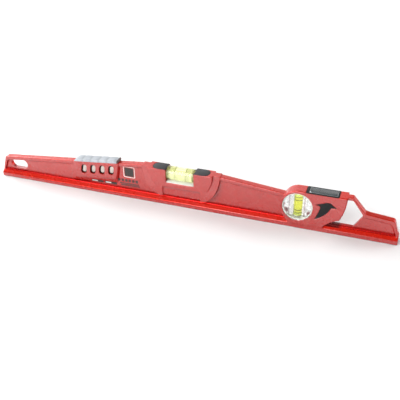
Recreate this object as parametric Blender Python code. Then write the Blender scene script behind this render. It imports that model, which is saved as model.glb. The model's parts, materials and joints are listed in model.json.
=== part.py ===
"""A cast 600 mm spirit level: a trapezoid casting with a wide milled rail, a level vial in its middle
housing, a plumb vial with a mirror window in its right housing, a soft grip and a hanging hole.

Metres. +X runs along the level to the plumb vial, +Y away from its front face and +Z up from its base."""

import math

import bmesh
import bpy
from mathutils import Vector

# Clearances and cutting
GAP = 0.0003
OVERRUN = 0.002
CORNER_STEPS = 4
ROUND_STEPS = 40
FINE_STEPS = 24

# Casting outline
LENGTH = 0.600
CREST_HEIGHT = 0.0575
CREST_LENGTH = 0.106
END_HEIGHT = 0.0328
END_LEAN = 0.0075
END_FOOT_HEIGHT = 0.010
END_CORNER_RADIUS = 0.004
FLANGE_THICKNESS = 0.005
FLANGE_WIDTH = 0.010
FLANGE_EDGE = 0.0007
END_WALL = 0.0030
WEB_THICKNESS = 0.005
POCKET_CORNER_RADIUS = 0.0055
POCKET_DRAFT = 0.0016
POCKET_FILLET = 0.0008

# Rail
RAIL_WIDTH = 0.0196
RAIL_SIDE_HEIGHT = 0.0065
RAIL_RIDGE_HEIGHT = 0.0100
RAIL_RIDGE_WIDTH = 0.0100
RAIL_GROOVE_DEPTH = 0.0012
RAIL_GROOVE_WIDTH = 0.0010
RAIL_BASE_EDGE = 0.0007
RAIL_END_EDGE = 0.0010
RAIL_END_SHARE = 0.90
WEB_ROOT_HEIGHT = 0.0145
WEB_ROOT_SHARES = ((1.0, 0.0), (0.45, 0.12), (0.12, 0.45), (0.0, 1.0))

# Hanging hole, at the left end
HANG_FROM_END = 0.0302
HANG_LENGTH = 0.0290
HANG_HEIGHT = 0.0148
HANG_LEVEL = 0.0227
HANG_RIM = 0.0042
HANG_RIM_WIDTH = 0.0060
HANG_RIM_DRAFT = 0.0008

# Grip, left of the middle housing
GRIP_FROM_MIDDLE = 0.0965
GRIP_LENGTH = 0.0715
GRIP_TAPER_LENGTH = 0.0075
GRIP_TAPER_HEIGHT = 0.0018
GRIP_WIDTH = 0.0140
GRIP_THICKNESS = 0.0048
GRIP_PLATE = 0.0006
GRIP_EDGE = 0.0016
GRIP_CORNER_SHARE = 0.3
GRIP_WAVE = 0.0004
GRIP_WAVE_PITCH = 0.0134
GRIP_WAVE_FROM_END = 0.0040
GRIP_STATIONS = 36
CORE_WIDTH = 0.0104
CORE_THICKNESS = 0.0020
CORE_END_MARGIN = 0.0100

# Boss and finger slots under the grip
BOSS_WIDTH = 0.0132
BOSS_DEPTH = 0.0222
BOSS_OVERHANG = 0.0003
BOSS_SETBACK = 0.0030
BOSS_STEP_LEAN = 0.0060
BOSS_STEP_BOW = 0.0013
BOSS_STEP_FLARE = 0.0020
BOSS_FLARE = 0.0150
BOSS_FLARE_SHARES = ((0.0, 0.0), (0.08, 0.18), (0.35, 0.42), (0.70, 0.66), (0.92, 0.84), (1.0, 1.0))
BOSS_CORNER_RADIUS = 0.0070
SLOT_COUNT = 4
SLOT_PITCH = 0.0150
SLOT_LENGTH = 0.0154
SLOT_WIDTH = 0.0086
SLOT_LEAN = 0.0024
SLOT_DROP = 0.0123
SLOT_FROM_END = 0.0119
LUG_THICKNESS = 0.0090
LUG_EDGE = 0.0006

# Middle housing
HOUSING_WIDTH = 0.0196
HOUSING_EDGE = 0.0005
MIDDLE_FACE_LENGTH = 0.0964
WING_REACH = 0.0100
WING_FOOT_LEVEL = 0.0140
WING_FACE_LEVEL = 0.0282
WING_STEP = 0.0043
WING_STEPS = 12
FEET = {-1: 0.0265, 1: 0.0305}
PANEL_HEIGHT = 0.0310
PANEL_BASE = 0.0160
PANEL_DEPTH = 0.0028
PANEL_TOP_RUN = 0.0040
PANEL_TOP_DEPTH = 0.0018
NOTCH_LENGTH = 0.0416
SILL_DROP = 0.0206

# Level vial, in the notch
VIAL_RADIUS = 0.0096
VIAL_DROP = 0.0083
VIAL_BORE = 0.0070
VIAL_RING_SPACING = 0.0164
VIAL_RING_WIDTH = 0.0007
VIAL_RING_THICKNESS = 0.0005
VIAL_PLUG_DEPTH = 0.0032
SPIGOT_RADIUS = 0.0053
SPIGOT_LENGTH = 0.0075
LEVEL_BUBBLE_LENGTH = 0.0150
LEVEL_BUBBLE_HEIGHT = 0.0046
LEVEL_BUBBLE_WIDTH = 0.0084
REFLECTOR_THICKNESS = 0.0012
REFLECTOR_EDGE = 0.0003

# Pads on the shoulders of the notch
PAD_LENGTH = 0.0211
PAD_WIDTH = 0.0176
PAD_THICKNESS = 0.0014
PAD_PROUD = 0.0002
PAD_CORNER_RADIUS = 0.0072

# Plumb housing, at the right end
PLUMB_FROM_END = 0.1330
PLUMB_ROOF = 0.0038
PLUMB_FLOOR = 0.0125
PLUMB_EDGE = 0.0011
PLUMB_NOSE_WALL = 0.0017
PLUMB_HEEL_FROM_LENS = 0.0086
PLUMB_HEEL_HEIGHT = 0.0083
PLUMB_HEEL_BOW = 0.0038
PLUMB_REACH = 0.0430
PLUMB_BACK_LEAN = 0.0072
PLUMB_BACK_BOW = 0.0022
PLUMB_CHIN_HEIGHT = 0.0222
PLUMB_CHIN_LENGTH = 0.0090
PLUMB_CHIN_DROP = 0.0035
PLUMB_TOE_LENGTH = 0.0111
PLUMB_TOE_HEIGHT = 0.0093

# Plumb vial disc
LENS_THICKNESS = 0.0012
LENS_RECESS = 0.0003
CARRIER_WALL = 0.0013
PLUMB_TUBE_RADIUS = 0.0056
PLUMB_TUBE_BORE = 0.0043
PLUMB_RING_SHARES = (-0.86, -0.54, 0.54, 0.86)
PLUMB_RING_SPREAD = 0.0140
PLUMB_RING_WIDTH = 0.0006
PLUMB_RING_THICKNESS = 0.0003
PLUMB_PLUG_DEPTH = 0.0012
PLUMB_BUBBLE_LENGTH = 0.0080
PLUMB_BUBBLE_RADIUS = 0.0030
FACET_OUTER_WIDTH = 0.0148
FACET_MIDDLE_WIDTH = 0.0128
FACET_INNER_WIDTH = 0.0060
FACET_FOLD_SHARE = 0.38
SIGHT_WIDTH = 0.0034
SIGHT_HEIGHT = 0.0150

# Mirror window on the plumb housing
WINDOW_FROM_LENS = 0.0100
WINDOW_LENGTH = 0.0428
WINDOW_WIDTH = 0.0176
WINDOW_THICKNESS = 0.0020
WINDOW_BORDER = 0.0018
WINDOW_LEFT_BORDER = 0.0035
WINDOW_CORNER_RADIUS = 0.0008
GLASS_THICKNESS = 0.0012
CHAMBER_WIDTH = 0.0118
CHAMBER_DEPTH = 0.0252
MIRROR_THICKNESS = 0.0012

# Arrow inlays
ARROW_LENGTH = 0.0298
ARROW_HEIGHT = 0.0284
ARROW_FROM_LENS = 0.0023
ARROW_LEVEL = 0.0189
ARROW_DEPTH = 0.0009
ARROW_THICKNESS = 0.0006
ARROW_HEAD_SHARES = (
    (0.715, 0.725), (0.985, 0.745), (0.67, 1.0), (0.53, 1.0), (0.0, 0.785), (0.19, 0.755), (0.25, 0.68),
)
ARROW_TAIL_SHARE = (0.02, -0.03)
ARROW_LEFT_BOW_SHARE = (0.165, 0.36)
ARROW_RIGHT_BOW_SHARE = (0.47, 0.31)

# Hand opening and its strut, right of the plumb housing
STRUT_TOP_REACH = 0.0067
STRUT_FOOT_REACH = 0.0241
STRUT_FOOT_RISE = 0.0008
STRUT_END_REACH = 0.0300
STRUT_THICKNESS = 0.0042
STRUT_ROOF = 0.0040
OPENING_TIP_LEVEL = 0.0295
OPENING_FLOOR_LEVEL = 0.0125
OPENING_FLOOR_REACH = 0.0105
OPENING_CORNER_RADIUS = 0.0018

# Colours, roughness and metallic value
RED = ("cast_red", (0.62, 0.045, 0.04, 1.0), 0.42, 0.0)
GREY = ("grip_grey", (0.52, 0.54, 0.58, 1.0), 0.60, 0.0)
BLACK = ("black_plastic", (0.025, 0.026, 0.028, 1.0), 0.45, 0.0)
CLEAR = ("clear_plastic", (0.90, 0.93, 0.90, 1.0), 0.08, 0.0)
YELLOW = ("vial_liquid", (0.78, 0.88, 0.06, 1.0), 0.10, 0.0)
AIR = ("vial_bubble", (0.95, 0.98, 0.70, 1.0), 0.05, 0.0)
WHITE = ("white_plastic", (0.86, 0.86, 0.84, 1.0), 0.35, 0.0)
SILVER = ("silver_foil", (0.80, 0.81, 0.83, 1.0), 0.25, 0.8)
MIRROR = ("mirror_glass", (0.85, 0.88, 0.90, 1.0), 0.04, 1.0)
SMOKE = ("window_glass", (0.10, 0.13, 0.15, 1.0), 0.06, 0.0)

# Places worked out from the sizes above
HALF_LENGTH = LENGTH / 2
SILL_HEIGHT = CREST_HEIGHT - SILL_DROP
VIAL_LEVEL = CREST_HEIGHT - VIAL_DROP
GRIP_RIGHT = -GRIP_FROM_MIDDLE
GRIP_LEFT = GRIP_RIGHT - GRIP_LENGTH
LENS_RADIUS = (CREST_HEIGHT - PLUMB_ROOF - PLUMB_FLOOR) / 2
PLUMB_LEVEL = PLUMB_FLOOR + LENS_RADIUS
PLUMB_X = HALF_LENGTH - PLUMB_FROM_END
LENS_RIGHT = PLUMB_X + LENS_RADIUS
PLUMB_RIGHT = LENS_RIGHT + PLUMB_REACH
CARRIER_OUTER = LENS_RADIUS - GAP
CARRIER_INNER = CARRIER_OUTER - CARRIER_WALL
CARRIER_WIDTH = HOUSING_WIDTH - 2 * (LENS_RECESS + LENS_THICKNESS + GAP)
WINDOW_LEFT = PLUMB_X + WINDOW_FROM_LENS
WINDOW_RIGHT = WINDOW_LEFT + WINDOW_LENGTH
WINDOW_FLOOR = CREST_HEIGHT - WINDOW_THICKNESS - GAP
CHAMBER_FLOOR = WINDOW_FLOOR - CHAMBER_DEPTH
FRONT_AND_BACK = (("front", -1), ("back", 1))


def flange_height(x):
    """The height of the sloping top flange at x."""
    slope_end = HALF_LENGTH - END_LEAN
    share = (slope_end - abs(x)) / (slope_end - CREST_LENGTH / 2)
    return END_HEIGHT + min(share, 1) * (CREST_HEIGHT - END_HEIGHT)


def material(look):
    """The Principled material of a look, made once."""
    name, colour, roughness, metallic = look
    found = bpy.data.materials.get(name)
    if found:
        return found
    made = bpy.data.materials.new(name)
    made.use_nodes = True
    shader = made.node_tree.nodes["Principled BSDF"]
    shader.inputs["Base Color"].default_value = colour
    shader.inputs["Roughness"].default_value = roughness
    shader.inputs["Metallic"].default_value = metallic
    made.diffuse_color = colour
    return made


def mesh_object(name, points, faces, look):
    """An object of these points and faces, with its faces pointing out."""
    mesh = bpy.data.meshes.new(name)
    mesh.from_pydata(points, [], faces)
    work = bmesh.new()
    work.from_mesh(mesh)
    bmesh.ops.recalc_face_normals(work, faces=work.faces)
    work.to_mesh(mesh)
    work.free()
    mesh.materials.append(material(look))
    made = bpy.data.objects.new(name, mesh)
    bpy.context.scene.collection.objects.link(made)
    return made


def combine(base, other, operation):
    """Joins other to base, cuts it out or keeps what they share, and removes other."""
    modifier = base.modifiers.new(operation.title(), "BOOLEAN")
    modifier.operation = operation
    modifier.solver = "EXACT"
    modifier.object = other
    graph = bpy.context.evaluated_depsgraph_get()
    mesh = bpy.data.meshes.new_from_object(base.evaluated_get(graph))
    base.modifiers.remove(modifier)
    base.data = mesh
    bpy.data.objects.remove(other)
    return base


def smooth(piece, angle=35):
    """Shades a round piece smooth, with its edges kept sharp."""
    piece.data.shade_smooth()
    piece.data.set_sharp_from_angle(angle=math.radians(angle))
    return piece


def along_y(u, v, depth):
    """A point of an X-Z outline, pushed along Y."""
    return (u, depth, v)


def along_z(u, v, depth):
    """A point of an X-Y outline, pushed along Z."""
    return (u, v, depth)


def along_x(u, v, depth):
    """A point of a Y-Z outline, pushed along X."""
    return (depth, u, v)


def layered(name, layers, look, place=along_y):
    """A solid through outlines of as many points each, given as (depth, outline) pairs."""
    count = len(layers[0][1])
    points = [place(u, v, depth) for depth, outline in layers for u, v in outline]
    faces = [tuple(range(count)), tuple(range(len(points) - count, len(points)))]
    for layer in range(len(layers) - 1):
        start = layer * count
        for index in range(count):
            after = (index + 1) % count
            faces.append((start + index, start + after, start + count + after, start + count + index))
    return mesh_object(name, points, faces, look)


def slab(name, outline, width, look, edge=0.0, place=along_y, middle=0.0):
    """An outline pushed half its width each way from the middle, with bevelled edges where edge is given."""
    low = middle - width / 2
    high = middle + width / 2
    if not edge:
        return layered(name, [(low, outline), (high, outline)], look, place)
    small = inset(outline, edge)
    layers = [(low, small), (low + edge, outline), (high - edge, outline), (high, small)]
    return layered(name, layers, look, place)


def cutter(outline, width, place=along_y, middle=0.0):
    """A solid that is only cut with."""
    return slab("cutter", outline, width, RED, place=place, middle=middle)


def rectangle(left, right, low, high, radius=0.0):
    """A rectangle's outline, with rounded corners where a radius is given."""
    return rounded([(left, low, radius), (right, low, radius), (right, high, radius), (left, high, radius)])


def rounded(corners, steps=CORNER_STEPS):
    """A closed outline whose corners, given as (u, v, radius), are rounded by arcs."""
    outline = []
    for index, (u, v, radius) in enumerate(corners):
        corner = Vector((u, v))
        if not radius:
            outline.append(corner)
            continue
        before = (Vector(corners[index - 1][:2]) - corner).normalized()
        after = (Vector(corners[(index + 1) % len(corners)][:2]) - corner).normalized()
        half_angle = before.angle(after) / 2
        centre = corner + (before + after).normalized() * (radius / math.sin(half_angle))
        reach = radius / math.tan(half_angle)
        outline += short_arc(centre, corner + before * reach, corner + after * reach, steps)
    return outline


def short_arc(centre, start, end, steps):
    """Points from start to end, the short way round the centre."""
    first = math.atan2(start.y - centre.y, start.x - centre.x)
    last = math.atan2(end.y - centre.y, end.x - centre.x)
    turn = (last - first + math.pi) % math.tau - math.pi
    radius = (start - centre).length
    return ellipse_arc(centre, radius, radius, first, first + turn, steps)


def ellipse_arc(centre, across, up, first, last, steps):
    """Points of an ellipse about the centre, from one angle to another, in radians."""
    angles = [first + (last - first) * step / steps for step in range(steps + 1)]
    return [Vector((centre[0] + across * math.cos(a), centre[1] + up * math.sin(a))) for a in angles]


def circle(centre, radius, steps=ROUND_STEPS):
    """A closed round outline."""
    return ellipse_arc(centre, radius, radius, 0, math.tau, steps)[:-1]


def obround(centre, length, height, steps=8):
    """A slot's outline along u, with half-round ends."""
    radius = height / 2
    run = Vector(((length - height) / 2, 0))
    right = ellipse_arc(Vector(centre) + run, radius, radius, -math.pi / 2, math.pi / 2, steps)
    left = ellipse_arc(Vector(centre) - run, radius, radius, math.pi / 2, 3 * math.pi / 2, steps)
    return right + left


def bowed(start, through, end, steps=CORNER_STEPS):
    """Points of a curve from start to end that passes through a middle point, without its two ends."""
    pull = 2 * Vector(through) - (Vector(start) + Vector(end)) / 2
    shares = [step / steps for step in range(1, steps)]
    return [(1 - s) ** 2 * Vector(start) + 2 * s * (1 - s) * pull + s * s * Vector(end) for s in shares]


def signed_area(outline):
    """The outline's area, positive when it runs anticlockwise."""
    pairs = zip(outline, outline[1:] + outline[:1])
    return sum(a[0] * b[1] - b[0] * a[1] for a, b in pairs) / 2


def inset(outline, distance):
    """The outline moved inwards, point for point. A negative distance moves it outwards."""
    side = math.copysign(1, signed_area(outline)) * distance
    moved = []
    for index, point in enumerate(outline):
        before = (point - outline[index - 1]).normalized()
        after = (outline[(index + 1) % len(outline)] - point).normalized()
        along = (before + after).normalized()
        moved.append(point + Vector((-along.y, along.x)) * (side / before.dot(along)))
    return moved


def mirrored(outline):
    """The outline on the other side of the middle."""
    return [Vector((-point[0], point[1])) for point in reversed(outline)]


def turned(name, profile, centre, axis, look, steps=ROUND_STEPS, squash=1.0):
    """A solid turned about an axis through the centre. The profile's (along, radius) points run from axis
    to axis, or close into a ring where none lies on the axis. squash widens it, for a flattened bubble."""
    points = []
    rows = []
    for reach, radius in profile:
        if radius <= 0:
            rows.append([len(points)])
            points.append(turned_point(centre, axis, reach, 0, 0))
            continue
        rows.append(list(range(len(points), len(points) + steps)))
        for step in range(steps):
            angle = math.tau * step / steps
            across = radius * squash * math.cos(angle)
            points.append(turned_point(centre, axis, reach, across, radius * math.sin(angle)))
    is_ring = all(len(row) > 1 for row in rows)
    pairs = list(zip(rows, rows[1:] + rows[:1])) if is_ring else list(zip(rows, rows[1:]))
    faces = []
    for row, following in pairs:
        faces += band(row, following, steps)
    return smooth(mesh_object(name, points, faces, look))


def turned_point(centre, axis, reach, across, up):
    """A point that lies reach along the axis from the centre, and across and up from it."""
    x, y, z = centre
    if axis == "X":
        return (x + reach, y + across, z + up)
    if axis == "Y":
        return (x + across, y + reach, z + up)
    return (x + across, y + up, z + reach)


def band(row, following, steps):
    """The faces between two rows of a turned solid, either of which may be a point on the axis."""
    faces = []
    for step in range(steps):
        after = (step + 1) % steps
        if len(row) == 1:
            faces.append((row[0], following[after], following[step]))
        elif len(following) == 1:
            faces.append((row[step], row[after], following[0]))
        else:
            faces.append((row[step], row[after], following[after], following[step]))
    return faces


def body_outline():
    """The casting from the front: a trapezoid with the raised strut of the hand opening at its right."""
    root = RAIL_SIDE_HEIGHT / 2
    strut_end = PLUMB_RIGHT + STRUT_END_REACH
    strut_foot = PLUMB_RIGHT + STRUT_FOOT_REACH
    inside = PLUMB_RIGHT - STRUT_TOP_REACH
    return rounded([
        (-HALF_LENGTH, root, 0),
        (HALF_LENGTH, root, 0),
        (HALF_LENGTH, END_FOOT_HEIGHT, 0),
        (HALF_LENGTH - END_LEAN, END_HEIGHT, END_CORNER_RADIUS),
        (strut_end, flange_height(strut_end), 0),
        (strut_foot, flange_height(strut_foot) + STRUT_FOOT_RISE, 0),
        (PLUMB_RIGHT + STRUT_TOP_REACH, CREST_HEIGHT, STRUT_THICKNESS / 2),
        (inside, CREST_HEIGHT, 0),
        (inside, flange_height(inside), 0),
        (CREST_LENGTH / 2, CREST_HEIGHT, 0),
        (-CREST_LENGTH / 2, CREST_HEIGHT, 0),
        (END_LEAN - HALF_LENGTH, END_HEIGHT, END_CORNER_RADIUS),
        (-HALF_LENGTH, END_FOOT_HEIGHT, 0),
    ])


def pocket_outline():
    """The hollow between the flanges, down to inside the rail."""
    root = RAIL_SIDE_HEIGHT / 2
    right = HALF_LENGTH - END_WALL
    crest = CREST_HEIGHT - FLANGE_THICKNESS
    end = END_HEIGHT - FLANGE_THICKNESS
    return rounded([
        (-right, root, 0),
        (right, root, 0),
        (right, END_FOOT_HEIGHT, 0),
        (right - END_LEAN, end, POCKET_CORNER_RADIUS),
        (CREST_LENGTH / 2, crest, 0),
        (-CREST_LENGTH / 2, crest, 0),
        (END_LEAN - right, end, POCKET_CORNER_RADIUS),
        (-right, END_FOOT_HEIGHT, 0),
    ])


def pocket_cutter(side):
    """The pocket of one face, drafted, with a filleted floor at the web."""
    outline = pocket_outline()
    floor = WEB_THICKNESS / 2
    return layered("cutter", [
        (side * floor, inset(outline, POCKET_DRAFT)),
        (side * (floor + POCKET_FILLET), inset(outline, POCKET_FILLET)),
        (side * FLANGE_WIDTH / 2, outline),
        (side * (FLANGE_WIDTH / 2 + OVERRUN), outline),
    ], RED)


def rail_profile():
    """The rail across: a milled base, upright faces, sloped tops and a coved groove beside the web."""
    half = RAIL_WIDTH / 2
    ridge = RAIL_RIDGE_WIDTH / 2
    near = WEB_THICKNESS / 2 - GAP
    run = ridge - RAIL_GROOVE_WIDTH - near
    low = RAIL_RIDGE_HEIGHT - RAIL_GROOVE_DEPTH
    cove = [(near + out * run, low + up * (WEB_ROOT_HEIGHT - low)) for out, up in WEB_ROOT_SHARES]
    side = [(half - RAIL_BASE_EDGE, 0), (half, RAIL_BASE_EDGE), (half, RAIL_SIDE_HEIGHT)]
    right = [Vector(point) for point in side + [(ridge, RAIL_RIDGE_HEIGHT)] + cove]
    return right + mirrored(right)


def rail_bar():
    """The rail, a little smaller at its two ends."""
    profile = rail_profile()
    small = [point * RAIL_END_SHARE for point in profile]
    near = HALF_LENGTH - RAIL_END_EDGE
    layers = [(-HALF_LENGTH, small), (-near, profile), (near, profile), (HALF_LENGTH, small)]
    return layered("rail", layers, RED, along_x)


def hang_rim():
    """The raised rim round the hanging hole."""
    centre = (HANG_FROM_END - HALF_LENGTH, HANG_LEVEL)
    wide = obround(centre, HANG_LENGTH + 2 * HANG_RIM, HANG_HEIGHT + 2 * HANG_RIM)
    return slab("rim", wide, HANG_RIM_WIDTH, RED, edge=HANG_RIM_DRAFT)


def hang_cutter():
    """The hanging hole."""
    centre = (HANG_FROM_END - HALF_LENGTH, HANG_LEVEL)
    return cutter(obround(centre, HANG_LENGTH, HANG_HEIGHT), HANG_RIM_WIDTH + OVERRUN)


def boss_outline(flare, step_flare):
    """The boss seen from the front, spread at its left and foot by one flare and at its right by another."""
    right = GRIP_RIGHT + BOSS_OVERHANG + step_flare
    left = GRIP_LEFT + BOSS_SETBACK - flare
    drop = BOSS_DEPTH + flare
    heel_x = right - BOSS_STEP_LEAN
    top = Vector((right, flange_height(right) - GAP))
    base = rounded([
        (left, flange_height(left) - GAP, 0),
        (left, flange_height(left) - drop, BOSS_CORNER_RADIUS),
        (heel_x, flange_height(heel_x) - drop, 0),
    ])
    middle = (base[-1] + top) / 2 + Vector((BOSS_STEP_BOW, 0))
    return base + bowed(base[-1], middle, top) + [top]


def grip_boss(side):
    """The thickened web under the grip: a hard cove at its right, faded into the web elsewhere."""
    foot = boss_outline(BOSS_FLARE, BOSS_STEP_FLARE)
    face = boss_outline(0, 0)
    near = WEB_THICKNESS / 2 - GAP
    rise = BOSS_WIDTH / 2 - near
    layers = []
    for up, share in BOSS_FLARE_SHARES:
        layers.append((side * (near + up * rise), [a.lerp(b, share) for a, b in zip(foot, face)]))
    return layered("boss", layers, RED)


def slot_centre(index):
    """The middle of one finger slot, which follows the slope of the flange."""
    x = GRIP_RIGHT - SLOT_FROM_END - (SLOT_COUNT - 1 - index) * SLOT_PITCH
    return Vector((x, flange_height(x) - SLOT_DROP))


def slot_outline(index, clearance=0.0):
    """One finger slot, upright and leaning a little to the right."""
    upright = obround((0, 0), SLOT_LENGTH - 2 * clearance, SLOT_WIDTH - 2 * clearance)
    centre = slot_centre(index)
    lean = SLOT_LEAN / SLOT_LENGTH
    return [centre + Vector((-point.y + point.x * lean, point.x)) for point in upright]


def wing_outline(hand, reach, level):
    """A housing side seen from the front: a quarter ellipse from the crest down to a foot at this level."""
    foot = FEET[hand]
    across = MIDDLE_FACE_LENGTH / 2 + reach - foot
    lobe = ellipse_arc((foot, CREST_HEIGHT), across, CREST_HEIGHT - level, 0, -math.pi / 2, WING_STEPS)
    return [Vector((hand * point.x, point.y)) for point in lobe]


def middle_outline():
    """The middle housing with its two wings and feet, open between the feet."""
    right, left = [wing_outline(hand, WING_REACH, WING_FOOT_LEVEL) for hand in (1, -1)]
    base = [Vector((right[-1].x - GAP, PANEL_BASE)), Vector((left[-1].x + GAP, PANEL_BASE))]
    return right + base + left[::-1]


def wing_step_cutter(side, hand):
    """Lowers the outer band of a wing, deepest at the top and fading out towards the foot."""
    outer = wing_outline(hand, WING_REACH + OVERRUN, WING_FOOT_LEVEL - OVERRUN)[:-1]
    inner = wing_outline(hand, 0, WING_FACE_LEVEL)[:-1]
    top = CREST_HEIGHT + OVERRUN
    low = WING_FACE_LEVEL
    rim = [Vector((outer[0].x, top))] + outer + inner[::-1] + [Vector((inner[0].x, top))]
    face = HOUSING_WIDTH / 2
    slope = WING_STEP / (CREST_HEIGHT - low)
    floor = [(x, side * (face - (z - low) * slope), z) for x, z in rim]
    roof = [(x, side * (face + WING_STEP + OVERRUN), z) for x, z in rim]
    return skinned(floor, roof)


def skinned(floor, roof):
    """A cutter between two rings of as many points."""
    count = len(floor)
    faces = [tuple(range(count)), tuple(range(count, 2 * count))]
    for index in range(count):
        after = (index + 1) % count
        faces.append((index, after, count + after, count + index))
    return mesh_object("cutter", floor + roof, faces, RED)


def panel_cutter(side):
    """Hollows the housing between its feet, with a sloping top and deeper towards the bottom."""
    face = HOUSING_WIDTH / 2
    low = WING_FOOT_LEVEL - OVERRUN
    section = [
        (face + OVERRUN, low),
        (face + OVERRUN, PANEL_HEIGHT),
        (face, PANEL_HEIGHT),
        (face - PANEL_TOP_DEPTH, PANEL_HEIGHT - PANEL_TOP_RUN),
        (face - PANEL_DEPTH, low),
    ]
    outline = [Vector((side * y, z)) for y, z in section]
    return layered("cutter", [(-FEET[-1], outline), (FEET[1], outline)], RED, along_x)


def notch_cutter():
    """The notch that shows the level vial from the front, the back and the top."""
    half = NOTCH_LENGTH / 2
    return cutter(rectangle(-half, half, SILL_HEIGHT, CREST_HEIGHT + OVERRUN), HOUSING_WIDTH + OVERRUN)


def spigot_cutter():
    """The bores in both shoulders that hold the level vial's plugs."""
    length = NOTCH_LENGTH + 2 * (SPIGOT_LENGTH + GAP)
    radius = SPIGOT_RADIUS + GAP
    return turned("cutter", [
        (-length / 2, 0), (-length / 2, radius), (length / 2, radius), (length / 2, 0),
    ], (0, 0, VIAL_LEVEL), "X", RED, FINE_STEPS)


def pad_outline(hand, clearance):
    """One shoulder pad from above: straight at the notch, rounded at its outer end."""
    near = NOTCH_LENGTH / 2
    far = near + PAD_LENGTH + clearance
    half = PAD_WIDTH / 2 + clearance
    corner = PAD_CORNER_RADIUS
    near = near - (OVERRUN if clearance else 0)
    right = rounded([(near, -half, 0), (far, -half, corner), (far, half, corner), (near, half, 0)])
    return right if hand > 0 else mirrored(right)


def pad_cutter(hand):
    """The recess of one pad."""
    low = CREST_HEIGHT + PAD_PROUD - PAD_THICKNESS - GAP
    high = CREST_HEIGHT + OVERRUN
    return cutter(pad_outline(hand, GAP), high - low, along_z, (high + low) / 2)


def plumb_outline():
    """The plumb housing: a round nose and heel at the left, a bowed back at the right, a toe on the rail."""
    centre = (PLUMB_X, PLUMB_LEVEL)
    across = LENS_RADIUS + PLUMB_NOSE_WALL
    root = RAIL_SIDE_HEIGHT / 2
    nose = ellipse_arc(centre, across, CREST_HEIGHT - PLUMB_LEVEL, math.pi / 2, math.pi, 3 * CORNER_STEPS)
    heel = Vector((PLUMB_X - LENS_RADIUS + PLUMB_HEEL_FROM_LENS, PLUMB_HEEL_HEIGHT))
    belly = (nose[-1] + heel) / 2 - Vector((PLUMB_HEEL_BOW, 0))
    left = nose + bowed(nose[-1], belly, heel) + [heel, Vector((heel.x, root))]
    chin = Vector((PLUMB_RIGHT - PLUMB_BACK_LEAN, PLUMB_CHIN_HEIGHT))
    jaw = chin + Vector((-PLUMB_CHIN_LENGTH, -PLUMB_CHIN_DROP))
    toe = Vector((jaw.x - PLUMB_TOE_LENGTH, PLUMB_TOE_HEIGHT))
    top = Vector((PLUMB_RIGHT, CREST_HEIGHT))
    middle = (chin + top) / 2 + Vector((PLUMB_BACK_BOW, 0))
    return left + [Vector((toe.x, root)), toe, jaw, chin] + bowed(chin, middle, top) + [top]


def opening_cutter():
    """The three-cornered hand opening between the plumb housing and the sloping strut."""
    run = Vector((STRUT_FOOT_REACH - STRUT_TOP_REACH, 0))
    foot_x = PLUMB_RIGHT + STRUT_FOOT_REACH
    top = Vector((PLUMB_RIGHT + STRUT_TOP_REACH, CREST_HEIGHT))
    foot = Vector((foot_x, flange_height(foot_x) + STRUT_FOOT_RISE))
    along = (foot - top).normalized()
    inward = Vector((along.y, -along.x)) * STRUT_THICKNESS
    share = STRUT_ROOF / (top.y - foot.y)
    roof = top + (foot - top) * share + inward
    tip = foot + inward
    corner = OPENING_CORNER_RADIUS
    outline = rounded([
        (PLUMB_RIGHT - run.x, top.y - STRUT_ROOF, 0),
        (roof.x, top.y - STRUT_ROOF, corner),
        (tip.x, tip.y, corner),
        (tip.x, OPENING_TIP_LEVEL, corner),
        (PLUMB_RIGHT + OPENING_FLOOR_REACH, OPENING_FLOOR_LEVEL, corner),
        (PLUMB_RIGHT - run.x, OPENING_FLOOR_LEVEL, 0),
    ])
    return cutter(outline, FLANGE_WIDTH + OVERRUN)


def window_cutter():
    """The shallow recess for the window's frame."""
    outline = rectangle(
        WINDOW_LEFT - GAP, WINDOW_RIGHT + GAP, -WINDOW_WIDTH / 2 - GAP, WINDOW_WIDTH / 2 + GAP,
        WINDOW_CORNER_RADIUS + GAP,
    )
    high = CREST_HEIGHT + OVERRUN
    return cutter(outline, high - WINDOW_FLOOR, along_z, (high + WINDOW_FLOOR) / 2)


def mirror_seat():
    """The two ends of the sloping seat of the mirror, low at the left."""
    right = WINDOW_RIGHT - WINDOW_BORDER
    high = WINDOW_FLOOR - 2 * (MIRROR_THICKNESS + GAP)
    run = high - CHAMBER_FLOOR
    return Vector((right - run, CHAMBER_FLOOR)), Vector((right, high))


def chamber_cutter():
    """The chamber under the window, open to the plumb vial at its left and sloped at its right."""
    low, high = mirror_seat()
    left = WINDOW_LEFT + WINDOW_LEFT_BORDER
    lens_edge = PLUMB_X + (LENS_RADIUS ** 2 - (PLUMB_LEVEL - CHAMBER_FLOOR) ** 2) ** 0.5
    outline = [
        Vector((left, WINDOW_FLOOR + OVERRUN / 2)),
        Vector((left, PLUMB_LEVEL + SIGHT_HEIGHT / 2)),
        Vector((lens_edge - OVERRUN, CHAMBER_FLOOR)),
        low,
        high,
        Vector((high.x, WINDOW_FLOOR + OVERRUN / 2)),
    ]
    return cutter(outline, CHAMBER_WIDTH)


def arrow_outline():
    """The bent arrow that points from the plumb vial's side up to the window."""
    def spot(shares):
        left = LENS_RIGHT + ARROW_FROM_LENS
        return Vector((left + shares[0] * ARROW_LENGTH, ARROW_LEVEL + shares[1] * ARROW_HEIGHT))

    head = [spot(shares) for shares in ARROW_HEAD_SHARES]
    tail = spot(ARROW_TAIL_SHARE)
    left = bowed(head[-1], spot(ARROW_LEFT_BOW_SHARE), tail)
    right = bowed(tail, spot(ARROW_RIGHT_BOW_SHARE), head[0])
    return head + left + [tail] + right


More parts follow.
